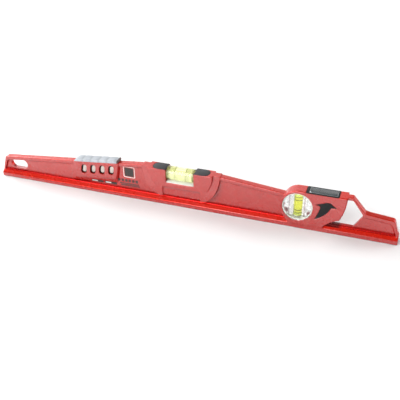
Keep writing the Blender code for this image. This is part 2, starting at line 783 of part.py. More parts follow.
def housings():
    """What is cast onto the trapezoid: the hanging hole's rim, the grip's bosses and both housings."""
    middle = slab("housing", middle_outline(), HOUSING_WIDTH, RED, edge=HOUSING_EDGE)
    plumb = slab("housing", plumb_outline(), RAIL_WIDTH, RED, edge=PLUMB_EDGE)
    return [hang_rim(), middle, plumb] + [grip_boss(side) for _, side in FRONT_AND_BACK]


def hollows():
    """What is cut out of the casting once its housings are on."""
    cutters = [hang_cutter(), notch_cutter(), spigot_cutter(), window_cutter(), chamber_cutter()]
    cutters += [cutter(slot_outline(index), BOSS_WIDTH + OVERRUN) for index in range(SLOT_COUNT)]
    cutters += [pad_cutter(hand) for hand in (-1, 1)]
    cutters.append(cutter(circle((PLUMB_X, PLUMB_LEVEL), LENS_RADIUS), RAIL_WIDTH + OVERRUN))
    for _, side in FRONT_AND_BACK:
        cutters.append(panel_cutter(side))
        cutters += [wing_step_cutter(side, hand) for hand in (-1, 1)]
        cutters.append(cutter(arrow_outline(), 2 * ARROW_DEPTH, middle=side * RAIL_WIDTH / 2))
    return cutters


def build_casting():
    """The one-piece casting with all its housings, bosses, recesses and openings."""
    casting = slab("body_casting", body_outline(), FLANGE_WIDTH, RED, edge=FLANGE_EDGE)
    for _, side in FRONT_AND_BACK:
        combine(casting, pocket_cutter(side), "DIFFERENCE")
    combine(casting, rail_bar(), "UNION")
    combine(casting, opening_cutter(), "DIFFERENCE")
    for addition in housings():
        combine(casting, addition, "UNION")
    for hollow in hollows():
        combine(casting, hollow, "DIFFERENCE")
    return smooth(casting)


def strip_outline(left, right, low, high):
    """A band that follows the sloping flange, between two heights above it."""
    return [
        Vector((left, flange_height(left) + low)),
        Vector((right, flange_height(right) + low)),
        Vector((right, flange_height(right) + high)),
        Vector((left, flange_height(left) + high)),
    ]


def grip_section(x):
    """The saddle across, at x: shallow grooves across its back, thin at its left end."""
    taper = min(1, (x - GRIP_LEFT) / GRIP_TAPER_LENGTH)
    turn = math.tau * (x - GRIP_RIGHT + GRIP_WAVE_FROM_END) / GRIP_WAVE_PITCH
    wave = GRIP_WAVE * taper * ((1 + math.cos(turn)) / 2) ** 2
    rise = (GRIP_THICKNESS - GRIP_TAPER_HEIGHT) * math.sin(taper * math.pi / 2)
    top = GRIP_TAPER_HEIGHT + rise - wave
    half = GRIP_WIDTH / 2
    edge = min(GRIP_EDGE, top / 2)
    corner = edge * GRIP_CORNER_SHARE
    right = [(half, GAP), (half, top - edge), (half - corner, top - corner), (half - edge, top)]
    section = right + [(-y, z) for y, z in reversed(right)]
    return [Vector((y, flange_height(x) + z)) for y, z in section]


def build_grip():
    """The soft saddle on the flange, and the dark core and end plate that it is moulded on."""
    plate_left = GRIP_RIGHT - GRIP_PLATE
    run = plate_left - GAP - GRIP_LEFT
    places = [GRIP_LEFT + run * station / GRIP_STATIONS for station in range(GRIP_STATIONS + 1)]
    saddle = layered("grip_saddle", [(x, grip_section(x)) for x in places], GREY, along_x)
    core_left = GRIP_LEFT + CORE_END_MARGIN
    hollow = strip_outline(core_left - GAP, GRIP_RIGHT, -GAP, CORE_THICKNESS + 2 * GAP)
    smooth(combine(saddle, cutter(hollow, CORE_WIDTH + 2 * GAP), "DIFFERENCE"))
    strip = strip_outline(core_left, GRIP_RIGHT - GAP, GAP, CORE_THICKNESS + GAP)
    core = slab("grip_core", strip, CORE_WIDTH, BLACK)
    plate = layered("plate", [(x, grip_section(x)) for x in (plate_left, GRIP_RIGHT)], BLACK, along_x)
    combine(core, plate, "UNION")
    for index in range(SLOT_COUNT):
        slab(f"grip_lug_{index + 1}", slot_outline(index, GAP), LUG_THICKNESS, GREY, edge=LUG_EDGE)


def vial_barrel(name, half_length, radius, bore, ring_places, ring_width, ring_thickness, centre, axis):
    """A clear tube with a groove in its bore for each ring."""
    groove = bore + ring_thickness + 2 * GAP
    reach = ring_width / 2 + GAP
    profile = [(-half_length, bore), (-half_length, radius), (half_length, radius), (half_length, bore)]
    for place in reversed(ring_places):
        right = place + reach
        left = place - reach
        profile += [(right, bore), (right, groove), (left, groove), (left, bore)]
    return turned(name, profile, centre, axis, CLEAR)


def vial_ring(name, place, bore, width, thickness, centre, axis):
    """One dark reading ring, in its groove."""
    low = bore + GAP
    high = low + thickness
    half = width / 2
    profile = [(place - half, low), (place - half, high), (place + half, high), (place + half, low)]
    turned(name, profile, centre, axis, BLACK)


def bubble_profile(length, radius):
    """A capsule, from end to end."""
    straight = length / 2 - radius
    arc = ellipse_arc((straight, 0), radius, radius, math.pi / 2, 0, CORNER_STEPS)
    right = [(point.x, point.y) for point in arc]
    right[-1] = (length / 2, 0)
    left = [(-reach, r) for reach, r in reversed(right)]
    return left + right


def build_level_vial():
    """The level vial: a barrel, its liquid and bubble, two rings and two plugs, over a white reflector."""
    centre = (0, 0, VIAL_LEVEL)
    half = NOTCH_LENGTH / 2 - GAP
    places = [-VIAL_RING_SPACING / 2, VIAL_RING_SPACING / 2]
    vial_barrel(
        "level_vial_barrel", half, VIAL_RADIUS, VIAL_BORE, places, VIAL_RING_WIDTH,
        VIAL_RING_THICKNESS, centre, "X",
    )
    plug_face = half - VIAL_PLUG_DEPTH
    spigot_end = NOTCH_LENGTH / 2 + SPIGOT_LENGTH
    collar = VIAL_BORE - GAP
    for hand, side, place in ((-1, "left", places[0]), (1, "right", places[1])):
        ring_name = f"level_vial_ring_{side}"
        vial_ring(ring_name, place, VIAL_BORE, VIAL_RING_WIDTH, VIAL_RING_THICKNESS, centre, "X")
        profile = [(plug_face, 0), (plug_face, collar), (half, collar), (half, SPIGOT_RADIUS)]
        profile += [(spigot_end, SPIGOT_RADIUS), (spigot_end, 0)]
        turned(f"level_vial_plug_{side}", [(hand * x, r) for x, r in profile], centre, "X", BLACK)
    liquid_end = plug_face - GAP
    liquid = turned("level_vial_liquid", [
        (-liquid_end, 0), (-liquid_end, collar), (liquid_end, collar), (liquid_end, 0),
    ], centre, "X", YELLOW)
    radius = LEVEL_BUBBLE_HEIGHT / 2
    squash = LEVEL_BUBBLE_WIDTH / LEVEL_BUBBLE_HEIGHT
    bubble_centre = (0, 0, VIAL_LEVEL + collar - radius)
    channel = turned("cutter", [
        (-half, 0), (-half, radius + GAP), (half, radius + GAP), (half, 0),
    ], bubble_centre, "X", RED, FINE_STEPS, squash)
    smooth(combine(liquid, channel, "DIFFERENCE"))
    profile = bubble_profile(LEVEL_BUBBLE_LENGTH, radius)
    turned("level_vial_bubble", profile, bubble_centre, "X", AIR, FINE_STEPS, squash)
    low = SILL_HEIGHT + GAP
    plate = rectangle(-half, half, low, low + REFLECTOR_THICKNESS)
    slab("level_vial_reflector", plate, HOUSING_WIDTH - 2 * GAP, WHITE, edge=REFLECTOR_EDGE)


def build_pads():
    """The two dark pads on the shoulders of the notch."""
    high = CREST_HEIGHT + PAD_PROUD
    for hand, side in ((-1, "left"), (1, "right")):
        middle = high - PAD_THICKNESS / 2
        slab(f"pad_{side}", pad_outline(hand, 0), PAD_THICKNESS, BLACK, place=along_z, middle=middle)


def build_plumb_disc():
    """The plumb vial's clear lenses, the carrier ring between them and the reflectors beside the tube."""
    centre = (PLUMB_X, 0, PLUMB_LEVEL)
    face = HOUSING_WIDTH / 2 - LENS_RECESS
    for name, side in FRONT_AND_BACK:
        near = side * face
        far = side * (face - LENS_THICKNESS)
        profile = [(near, 0), (near, CARRIER_OUTER), (far, CARRIER_OUTER), (far, 0)]
        turned(f"plumb_lens_{name}", profile, centre, "Y", CLEAR)
    half = CARRIER_WIDTH / 2
    carrier = turned("plumb_carrier", [
        (-half, CARRIER_INNER), (-half, CARRIER_OUTER), (half, CARRIER_OUTER), (half, CARRIER_INNER),
    ], centre, "Y", WHITE)
    low = PLUMB_LEVEL - SIGHT_HEIGHT / 2
    high = PLUMB_LEVEL + SIGHT_HEIGHT / 2
    smooth(combine(carrier, cutter(rectangle(PLUMB_X, LENS_RIGHT, low, high), SIGHT_WIDTH), "DIFFERENCE"))
    for hand, side in ((-1, "left"), (1, "right")):
        facet = facet_reflector(f"plumb_reflector_{side}", hand)
        if hand > 0:
            combine(facet, cutter(rectangle(PLUMB_X, LENS_RIGHT, low, high), SIGHT_WIDTH), "DIFFERENCE")


def facet_reflector(name, hand):
    """A folded silver reflector between the tube and the carrier, thick at the ring and thin at the tube."""
    near = PLUMB_TUBE_RADIUS + GAP
    far = CARRIER_INNER
    fold = far - (far - near) * FACET_FOLD_SHARE
    places = (near, fold, far)
    widths = (FACET_INNER_WIDTH, FACET_MIDDLE_WIDTH, FACET_OUTER_WIDTH)
    back = [Vector((PLUMB_X + hand * u, width / 2)) for u, width in zip(places, widths)]
    section = back + [Vector((point.x, -point.y)) for point in reversed(back)]
    block = slab(name, section, 2 * CARRIER_INNER, SILVER, place=along_z, middle=PLUMB_LEVEL)
    reach = CARRIER_INNER - GAP
    bore = turned("cutter", [
        (-HOUSING_WIDTH, 0), (-HOUSING_WIDTH, reach), (HOUSING_WIDTH, reach), (HOUSING_WIDTH, 0),
    ], (PLUMB_X, 0, PLUMB_LEVEL), "Y", RED)
    return combine(block, bore, "INTERSECT")


def build_plumb_vial():
    """The upright tube of the plumb vial, with its bubble at the top while the level lies flat."""
    centre = (PLUMB_X, 0, PLUMB_LEVEL)
    reach = CARRIER_INNER - GAP
    half = (reach ** 2 - PLUMB_TUBE_RADIUS ** 2) ** 0.5
    plug_radius = PLUMB_TUBE_BORE - GAP
    plug_tip = (reach ** 2 - plug_radius ** 2) ** 0.5
    plug_face = half - PLUMB_PLUG_DEPTH
    places = [share * PLUMB_RING_SPREAD for share in PLUMB_RING_SHARES]
    vial_barrel(
        "plumb_vial_barrel", half, PLUMB_TUBE_RADIUS, PLUMB_TUBE_BORE, places, PLUMB_RING_WIDTH,
        PLUMB_RING_THICKNESS, centre, "Z",
    )
    for index, place in enumerate(places):
        name = f"plumb_vial_ring_{index + 1}"
        vial_ring(name, place, PLUMB_TUBE_BORE, PLUMB_RING_WIDTH, PLUMB_RING_THICKNESS, centre, "Z")
    for hand, side in ((-1, "bottom"), (1, "top")):
        profile = [(plug_face, 0), (plug_face, plug_radius), (plug_tip, plug_radius), (plug_tip, 0)]
        profile = [(hand * z, r) for z, r in profile]
        turned(f"plumb_vial_plug_{side}", profile, centre, "Z", WHITE, FINE_STEPS)
    end = plug_face - GAP
    channel = PLUMB_BUBBLE_RADIUS + GAP
    profile = [(-end, channel), (-end, plug_radius), (end, plug_radius), (end, channel)]
    turned("plumb_vial_liquid", profile, centre, "Z", YELLOW)
    bubble_centre = (PLUMB_X, 0, PLUMB_LEVEL + end - PLUMB_BUBBLE_LENGTH / 2)
    profile = bubble_profile(PLUMB_BUBBLE_LENGTH, PLUMB_BUBBLE_RADIUS)
    turned("plumb_vial_bubble", profile, bubble_centre, "Z", AIR, FINE_STEPS)


def build_window():
    """The framed window on the plumb housing and the sloping mirror under it."""
    half = WINDOW_WIDTH / 2
    high = CREST_HEIGHT
    outline = rectangle(WINDOW_LEFT, WINDOW_RIGHT, -half, half, WINDOW_CORNER_RADIUS)
    middle = high - WINDOW_THICKNESS / 2
    frame = slab("window_frame", outline, WINDOW_THICKNESS, BLACK, place=along_z, middle=middle)
    left = WINDOW_LEFT + WINDOW_LEFT_BORDER
    right = WINDOW_RIGHT - WINDOW_BORDER
    inner = half - WINDOW_BORDER
    opening = rectangle(left, right, -inner, inner, WINDOW_CORNER_RADIUS)
    combine(frame, cutter(opening, 2 * WINDOW_THICKNESS + OVERRUN, along_z, high), "DIFFERENCE")
    pane = rectangle(left + GAP, right - GAP, GAP - inner, inner - GAP, WINDOW_CORNER_RADIUS)
    slab("window_glass", pane, GLASS_THICKNESS, SMOKE, place=along_z, middle=middle)
    low, top = mirror_seat()
    along = (top - low).normalized()
    up = Vector((-along.y, along.x))
    back = [low + along * GAP + up * GAP, top - along * GAP + up * GAP]
    front = [point + up * MIRROR_THICKNESS for point in reversed(back)]
    slab("window_mirror", back + front, CHAMBER_WIDTH - 2 * GAP, MIRROR)


def build_arrows():
    """The dark arrow inlaid in each face of the plumb housing."""
    outline = inset(arrow_outline(), GAP)
    for name, side in FRONT_AND_BACK:
        middle = side * (RAIL_WIDTH / 2 - ARROW_DEPTH + GAP + ARROW_THICKNESS / 2)
        slab(f"arrow_{name}", outline, ARROW_THICKNESS, BLACK, middle=middle)


def build():
    """The whole level."""
    for old in list(bpy.data.objects):
        bpy.data.objects.remove(old)
    build_casting()
    build_grip()
    build_level_vial()
    build_pads()
    build_plumb_disc()
    build_plumb_vial()
    build_window()
    build_arrows()


build()
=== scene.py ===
import json
import math

import bmesh
import bpy
from mathutils import Matrix, Vector


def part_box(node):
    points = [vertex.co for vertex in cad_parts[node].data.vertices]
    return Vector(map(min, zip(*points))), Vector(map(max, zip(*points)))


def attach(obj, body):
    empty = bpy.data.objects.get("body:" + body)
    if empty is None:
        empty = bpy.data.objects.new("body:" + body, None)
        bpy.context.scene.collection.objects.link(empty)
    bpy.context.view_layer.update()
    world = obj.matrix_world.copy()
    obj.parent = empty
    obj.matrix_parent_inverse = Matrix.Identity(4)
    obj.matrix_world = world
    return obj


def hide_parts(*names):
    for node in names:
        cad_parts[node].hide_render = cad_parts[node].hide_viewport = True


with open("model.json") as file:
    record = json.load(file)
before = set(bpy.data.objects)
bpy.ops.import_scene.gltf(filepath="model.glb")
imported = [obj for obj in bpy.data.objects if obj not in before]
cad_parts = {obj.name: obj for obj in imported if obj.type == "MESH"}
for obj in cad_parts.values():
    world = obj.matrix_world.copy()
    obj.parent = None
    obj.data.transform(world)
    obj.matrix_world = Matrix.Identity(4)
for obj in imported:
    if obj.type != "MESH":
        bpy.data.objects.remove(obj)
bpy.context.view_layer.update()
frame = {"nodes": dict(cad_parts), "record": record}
nodes = frame["nodes"]

# Camera, in the row frame
CAMERA_PLACE = (0.27152, -0.67487, 0.46547)
CAMERA_RIGHT = (0.9434, 0.3314, -0.0161)
CAMERA_UP = (-0.1644, 0.5090, 0.8449)
CAMERA_FORWARD = (-0.2882, 0.7945, -0.5346)
CAMERA_LENS = 53.55
CAMERA_SENSOR = 36.0
CAMERA_CLIP = 0.01

# Studio: (rise, grey) stops of the world's tone, and the spans of direction over which its strength changes
WORLD_TONES = ((0.0, 0.6), (0.30, 1.0), (0.60, 0.85), (0.80, 0.10), (1.0, 0.04))
WORLD_DEPTH = (-0.3, 0.5)
WORLD_FRONT = 0.50
WORLD_BACK = 1.35
WORLD_ACROSS = (-0.02, 0.14)
WORLD_RIGHT_SHARE = 0.22
LOW_RISE = (0.34, 0.24)
LOW_DEPTH = (0.0, 0.3)
WORLD_LOW = 1.2
HORIZON_RISE = (0.22, 0.12)
WORLD_HORIZON = 1.45
FLOOR_REACH = 6.0
FLOOR_DROP = 0.0004
FLOOR_WHITE = (0.93, 0.93, 0.93, 1)
FLOOR_ROUGHNESS = 0.9
FLOOR_GLOW = 0.75
FLOOR_GLOW_SPAN = (0.7, 2.6)

# Lamps: name, direction from the object, size and power
LAMP_DISTANCE = 2.0
LAMPS = (
    ("key", (-0.30, -0.76, 0.57), 1.7, 44),
    ("fill", (-0.80, 0.30, 0.52), 1.2, 26),
    ("right", (0.74, 0.50, 0.45), 1.4, 18),
)

# Joining and shading of meshes, with angles in degrees
WELD_DISTANCE = 0.000002
FLAT_ANGLE = 1
BEVEL_ANGLE = 40
SHARP_ANGLE = 35
EASED_SHARP_ANGLE = 50
SADDLE_SHARP_ANGLE = 50
STRIP_SHARP_ANGLE = 60
EASE_STEPS = 2

# Casting
CAST_VOXEL = 0.0005
CAST_SMOOTHING = 4
CAST_SOFTENING = 0.5
HALF_LENGTH = 0.300
END_LEAN = 0.0075
END_HEIGHT = 0.0328
CREST_HALF = 0.053
CREST_HEIGHT = 0.0575

# Where the enamel is painted lighter (painted light), painted darker (painted shade) or made less shiny:
# places in metres, and (from, to) pairs for what fades
FADE = 0.0008
SLOPE_HIGH = 0.0105
SLOPE_TOP = (0.0125, 0.0105)
SLOPE_TURN = (0.25, 0.60)
TOP_TURN = (0.30, 0.60)
TOP_LEVEL = (0.020, 0.024)
TOP_RIGHT = (0.2165, 0.2215)
TOP_LEFT_SHARE = 0.7
COVE_LOW = 0.0086
COVE_FADE = 0.0152
COVE_HIGH = 0.0118
COVE_REACH = 0.0041
PANEL_SHADE_HIGH = 0.0168
PANEL_SHADE_LOW = 0.0142
PANEL_REACH = 0.0300
RIDGE_LOW = 0.0088
RIDGE_FALL = (0.0125, 0.0108)
RIDGE_REACH = 0.0060
RIDGE_RUN = (0.09, -0.03)
EDGE_RISE = (0.0046, 0.0060)
EDGE_FALL = (0.0080, 0.0069)
EDGE_OUT = (0.0076, 0.0088)
EDGE_RUN = (0.06, -0.02)
EDGE_RIGHT_SHARE = 0.4
CHIN_LEFT = 0.2020
CHIN_RIGHT = 0.2280
CHIN_FADE = 0.006
CHIN_OUT = (0.0088, 0.0080)
CHIN_SHADE_HIGH = 0.0210
SIDE_TURN = (0.20, 0.60)
END_TURN = (0.80, 0.92)
UNDER_TURN = (-0.15, -0.70)
BASE_FILM = 0.0003
BASE_FADE = 0.0001

# Enamel and metal colours, linear, and the tones between which a colour wavers; the lighter red and the
# cove, side, chin and under reds are painted light and shade
MILLED_GREY = ((0.42, 0.42, 0.43), (0.66, 0.66, 0.67))
# The enamel's own red, and a lighter red painted as light where it falls on up-facing slopes and tops
ENAMEL_RED = ((0.365, 0.0085, 0.0050), (0.390, 0.0100, 0.0060))
PAINTED_LIGHT_RED = ((0.56, 0.011, 0.002), (0.61, 0.014, 0.003))
# Painted shade: darker reds for the coves and the panel's foot, right-facing sides, the shadow under the
# chin and downward faces
COVE_SHADE_RED = (0.40, 0.002, 0.001, 1)
SIDE_SHADE_RED = (0.48, 0.006, 0.002, 1)
CHIN_SHADOW_RED = (0.06, 0.001, 0.0007, 1)
UNDER_SHADE_RED = (0.20, 0.003, 0.002, 1)

# How far each place of the enamel takes its painted shade of red, tints what it mirrors, and loses its coat
SHADES = (
    ("cove", 0.96, COVE_SHADE_RED), ("chin", 0.9, CHIN_SHADOW_RED), ("side", 0.85, SIDE_SHADE_RED), ("under", 1.0, UNDER_SHADE_RED),
)
TINTS = (("base", 1.0), ("cove", 0.9), ("side", 0.6), ("end", 0.97), ("edge", 0.7), ("top", 0.35))
DULLED = (
    ("cove", 1.0), ("ridge", 1.0), ("edge", 1.0), ("end", 1.0), ("top", 1.0), ("side", 0.8), ("slope", 0.5),
)
LEAST_COAT = 0.08

# Grain of the enamel and of the milled base: features to the metre, and depths
PATCH_SCALE = 28
POLISH_SCALE = 90
POLISH = (0.24, 0.30)
PEEL_SCALE = 800
PEEL_DEPTH = 0.000003
GRAIN_SCALE = 2600
GRAIN_DEPTH = 0.000001
MILLING_STRETCH = (30, 1, 1)
MILLING_SCALE = 60
MILLING_DETAIL = 4
MIDDLE = (0.3, 0.7)

# Colours of the other looks, linear
GRIP_GREY = ((0.37, 0.395, 0.43), (0.45, 0.475, 0.51))
LUG_GREY = ((0.46, 0.41, 0.37), (0.54, 0.48, 0.44))
PAD_BLACK = (0.030, 0.030, 0.033)
MOULDED_BLACK = (0.010, 0.0105, 0.011)
CORE_BROWN = (0.130, 0.085, 0.083)
PLASTIC_WHITE = ((0.80, 0.80, 0.77), (0.88, 0.88, 0.85))
CLEAR_WHITE = (0.99, 1.0, 0.99)
CLEAR_YELLOW = (0.99, 1.0, 0.93)
SMOKED_GREY = (0.25, 0.29, 0.30)
LIQUID_YELLOW = ((0.91, 0.94, 0.52), (0.94, 0.96, 0.62))
# Glows are painted light: the liquids' fluorescence and the bubble's shine, given off whatever light falls
LIQUID_GLOW = (0.93, 0.96, 0.60)
PLUMB_YELLOW = (0.88, 0.88, 0.16, 1)
PLUMB_PALE = (0.78, 0.84, 0.36, 1)
PLUMB_GLOW = (0.92, 0.94, 0.30)
BUBBLE_YELLOW = ((0.95, 0.98, 0.72), (0.98, 1.0, 0.80))
BUBBLE_GLOW = (0.97, 1.0, 0.7)
PLUG_OLIVE = ((0.46, 0.45, 0.14), (0.60, 0.58, 0.22))
RING_BROWN = ((0.07, 0.055, 0.02), (0.12, 0.10, 0.04))
FOIL_SILVER = ((0.90, 0.90, 0.91), (0.96, 0.96, 0.97))
# Painted dark reflections on the plumb vial's foil
FOIL_REFLECTION_DARK = (0.30, 0.145, 0.15, 1)
MIRROR_SILVER = ((0.80, 0.83, 0.84), (0.88, 0.90, 0.91))
INK_BLACK = ((0.022, 0.018, 0.016), (0.040, 0.032, 0.028))
INK_WHITE = ((0.74, 0.70, 0.66), (0.86, 0.83, 0.80))
# Painted highlight on the window pane's edge and painted glint at its front corner
HIGHLIGHT_GREY = ((0.24, 0.27, 0.28), (0.34, 0.37, 0.38))
GLINT_GREY = ((0.62, 0.68, 0.70), (0.74, 0.78, 0.80))

# What several looks share
SOFT = {"Subsurface Weight": 0.05, "Subsurface Radius": (0.002, 0.002, 0.002)}
LIGHTER = 1.5
ROUGH_SPREAD = (-0.08, 0.1)
SOFT_GRAIN = 0.00003
SATIN_GRAIN = 0.00001

# Saddle
GAP = 0.0003
SADDLE_LEFT = -0.1680
SADDLE_RIGHT = -0.0980
SADDLE_HALF = 0.0070
SADDLE_THICKNESS = 0.0048
SADDLE_LEFT_THICKNESS = 0.0018
SADDLE_TAPER = 0.0075
SADDLE_CORNER = 0.0017
SADDLE_CORNER_SHARE = 0.8
SADDLE_CORNER_STEPS = 6
SADDLE_CROWN = 0.00025
SADDLE_CROWN_PLACES = (0.75, 0.5, 0.25)
SADDLE_STATIONS = 220
GROOVE_RIGHT = -0.1005
GROOVE_PITCH = 0.0134
GROOVE_DEPTH = 0.00050
GROOVE_WIDTH = 0.0022
# Painted shade in the saddle's grooves: how strong, how far it reaches and its grey
GROOVE_SHADE_SHARE = 0.45
GROOVE_SHADE_REACH = 1.3
SHADED_GROOVE_GREY = (0.20, 0.215, 0.24, 1)
CHANNEL_LEFT = -0.1583
CHANNEL_HALF = 0.0055
CHANNEL_DEPTH = 0.0026

# Lugs in the finger slots
LUG_COUNT = 4
LUG_EDGE = 0.0005
LUG_EDGE_STEPS = 3
LUG_DEPTH_SHARE = 0.93
LUG_SIZE_SHARE = 0.80
# Shift of each lug up and right, and rounding of the dark piece behind it, painted shade that shows to the
# lug's left and below
LUG_SHIFT = (0.0004, 0.0, 0.0004)
SHADE_LINER_EDGE = 0.0003

# Vials: a clear rod round a bore full of liquid
ROD_STEPS = 96
ROD_EDGE = 0.0004
ROD_EDGE_STEPS = 4
CHANNEL_STEPS = 48
LEVEL_CENTRE = (0.0, 0.0, 0.0492)
LEVEL_HALF = 0.0205
LEVEL_RADIUS = 0.0096
LEVEL_BORE = 0.0070
LEVEL_PLUG_DEPTH = 0.0032
BUBBLE_CENTRE = 0.0536
CHANNEL_ACROSS = 0.0045
CHANNEL_UP = 0.0026
PLUMB_CENTRE = (0.167, 0.0, 0.0331)
PLUMB_HALF = 0.01784
PLUMB_RADIUS = 0.0056
PLUMB_BORE = 0.0043
PLUMB_PLUG_DEPTH = 0.0012
PLUMB_CHANNEL = 0.0033
PLUMB_PALE_FROM = 0.0105
PLUMB_PALE_FADE = 0.002
RING_COUNT = 4
RING_STRETCH = 1.6

# Foil behind the plumb vial: its painted dark reflections, lines and spots by their place from its middle,
# and how they fade
FOIL_REFLECTION_LINES = ((-0.0115, 0.0011), (0.0092, 0.0013))
FOIL_REFLECTION_SPOTS = (((-0.0166, -0.0088), 0.0070), ((0.0162, -0.0092), 0.0050), ((-0.0185, 0.0010), 0.0030))
LINE_CORE = 0.4
LINE_SHARE = 0.55
SPOT_CORE = 0.45
REFLECTION_WAVER_SCALE = 260
REFLECTION_WAVER_SPAN = (0.24, 0.44)

# Window on the plumb housing
PANE_LEFT = 0.1808
PANE_RIGHT = 0.2177
PANE_HALF = 0.0067
PANE_TOP = 0.0571
# Painted highlight along the pane's edge and painted glint at its front corner: their widths, height and
# size
RIM_WIDTH = 0.0005
RIM_HEIGHT = 0.0002
CORNER_GLINT = (0.0024, 0.0030)

# Plain printed marks on the front of the web
PRINT_FROM = -0.0300
PRINT_LAYER = 0.00012
PRINT_SUNK = 0.00010
BADGE_CENTRE = (-0.0811, 0.0394)
BADGE_SIZE = (0.0180, 0.0178)
BADGE_LINE = 0.0009
BADGE_CORNER = 0.0018
BADGE_FIELD = (0.0140, 0.0138)
STRIP_SIZE = (0.0193, 0.0042)
STRIP_CENTRES = ((-0.1346, 0.0166), (-0.1124, 0.0166))
STRIP_BAR_SIZE = (0.0088, 0.0018)
STRIP_BAR_SHIFT = -0.0040
STRIP_BAR_LAYERS = 2
SQUARE_SIZE = (0.0036, 0.0044)
SQUARE_PITCH = 0.0056
SQUARE_COUNT = 6
SQUARE_FIRST = (-0.0980, 0.0248)
TICK_SIZE = (0.0028, 0.0020)
TICK_PITCH = 0.0034
TICK_COUNT = 9
TICK_ROWS = ((-0.0956, 0.0196), (-0.0944, 0.0168))
ROUNDING_STEPS = 4
STRIP_STEPS = (16, 6)

# Plates and inlays that get rounded edges: node, width of the rounding, record slot and look
EASED_NODES = (
    ("pad_left", 0.0004, "pads", "pads"),
    ("pad_right", 0.0004, "pads", "pads"),
    ("arrow_front", 0.00025, "dark_plastic", "dark_plastic"),
    ("arrow_back", 0.00025, "dark_plastic", "dark_plastic"),
    ("window_frame", 0.0003, "dark_plastic", "dark_plastic"),
    ("window_glass", 0.0002, "window", "window"),
    ("level_vial_reflector", 0.00025, "white_plastic", "white_plastic"),
    ("grip_core", 0.0003, "dark_plastic", "core"),
)

# CAD nodes that keep their shape and take another look than their slot's
NODE_LOOKS = {
    "level_vial_plug_left": "plug", "level_vial_plug_right": "plug",
    "level_vial_ring_left": "ring", "level_vial_ring_right": "ring",
}


# Shader nodes

def feed(tree, socket, value):
    """Links a socket to another one, or sets its value."""
    if isinstance(value, bpy.types.NodeSocket):
        tree.links.new(value, socket)
    else:
        socket.default_value = value


def look(name, sockets):
    """A Principled material with these sockets set."""
    made = bpy.data.materials.new(name)
    made.use_nodes = True
    shader = made.node_tree.nodes["Principled BSDF"]
    for label, value in sockets.items():
        shader.inputs[label].default_value = value
    return made


def into(material, label, value):
    """Links a value into the material's Principled shader."""
    feed(material.node_tree, material.node_tree.nodes["Principled BSDF"].inputs[label], value)


def add(tree, kind, inputs=None, **settings):
    """One more node in a tree, with its settings, and its inputs set or linked."""
    made = tree.nodes.new(kind)
    for label, value in settings.items():
        setattr(made, label, value)
    for label, value in (inputs or {}).items():
        feed(tree, made.inputs[label], value)
    return made


def place_in(tree, stretch=(1, 1, 1)):
    """The object's own coordinates, in metres, stretched."""
    source = add(tree, "ShaderNodeTexCoord").outputs["Object"]
    return add(tree, "ShaderNodeMapping", {"Vector": source, "Scale": stretch}).outputs["Vector"]


def axes_of(tree, vector):
    """The X, Y and Z of a vector."""
    return add(tree, "ShaderNodeSeparateXYZ", {"Vector": vector}).outputs


def noise(tree, where, scale, detail=2.0):
    """A noise of this many features to the metre."""
    inputs = {"Vector": where, "Scale": scale, "Detail": detail}
    return add(tree, "ShaderNodeTexNoise", inputs).outputs["Fac"]


def ramp(tree, factor, stops):
    """A colour ramp through these (place, colour) stops."""
    made = add(tree, "ShaderNodeValToRGB", {"Fac": factor})
    stops = list(stops)
    points = made.color_ramp.elements
    while len(points) < len(stops):
        points.new(0.5)
    for point, (where, colour) in zip(points, stops):
        point.position = where
        point.color = (*colour, 1)
    return made.outputs["Color"]


def span(tree, value, low, high, to_low=0.0, to_high=1.0, smooth=False):
    """A value from one range taken to another and held there."""
    made = add(tree, "ShaderNodeMapRange", {
        "Value": value, "From Min": low, "From Max": high, "To Min": to_low, "To Max": to_high,
    })
    if smooth:
        made.interpolation_type = "SMOOTHSTEP"
    return made.outputs["Result"]


def math_node(tree, operation, first, second=0.0):
    """The sum, product or other result of two values."""
    return add(tree, "ShaderNodeMath", {0: first, 1: second}, operation=operation).outputs[0]


def product(tree, *values):
    """The product of these values."""
    result = values[0]
    for value in values[1:]:
        result = math_node(tree, "MULTIPLY", result, value)
    return result


def most(tree, *values):
    """The largest of these values."""
    result = values[0]
    for value in values[1:]:
        result = math_node(tree, "MAXIMUM", result, value)
    return result


def blend_colour(tree, factor, first, second):
    """Two colours mixed by a factor, through the Mix node's sockets for colours."""
    return add(tree, "ShaderNodeMix", {0: factor, 6: first, 7: second}, data_type="RGBA").outputs[2]


def bump(tree, height, distance, normal=None):
    """A bump of this depth in metres, over another one where it is given."""
    made = add(tree, "ShaderNodeBump", {"Height": height, "Distance": distance})
    if normal is not None:
        feed(tree, made.inputs["Normal"], normal)
    return made.outputs["Normal"]


# Looks

def mottle(made, tones, scale, detail=2.0):
    """Lets a material's colour waver between two tones, and returns that colour."""
    tree = made.node_tree
    colour = ramp(tree, noise(tree, place_in(tree), scale, detail), zip(MIDDLE, tones))
    into(made, "Base Color", colour)
    return colour


def roughen(made, values, scale, detail=2.0):
    """Lets a material's roughness waver between two values."""
    tree = made.node_tree
    into(made, "Roughness", span(tree, noise(tree, place_in(tree), scale, detail), *MIDDLE, *values))


def grain(made, depth, scale):
    """Gives a material a fine grain of this depth."""
    tree = made.node_tree
    into(made, "Normal", bump(tree, noise(tree, place_in(tree), scale), depth))


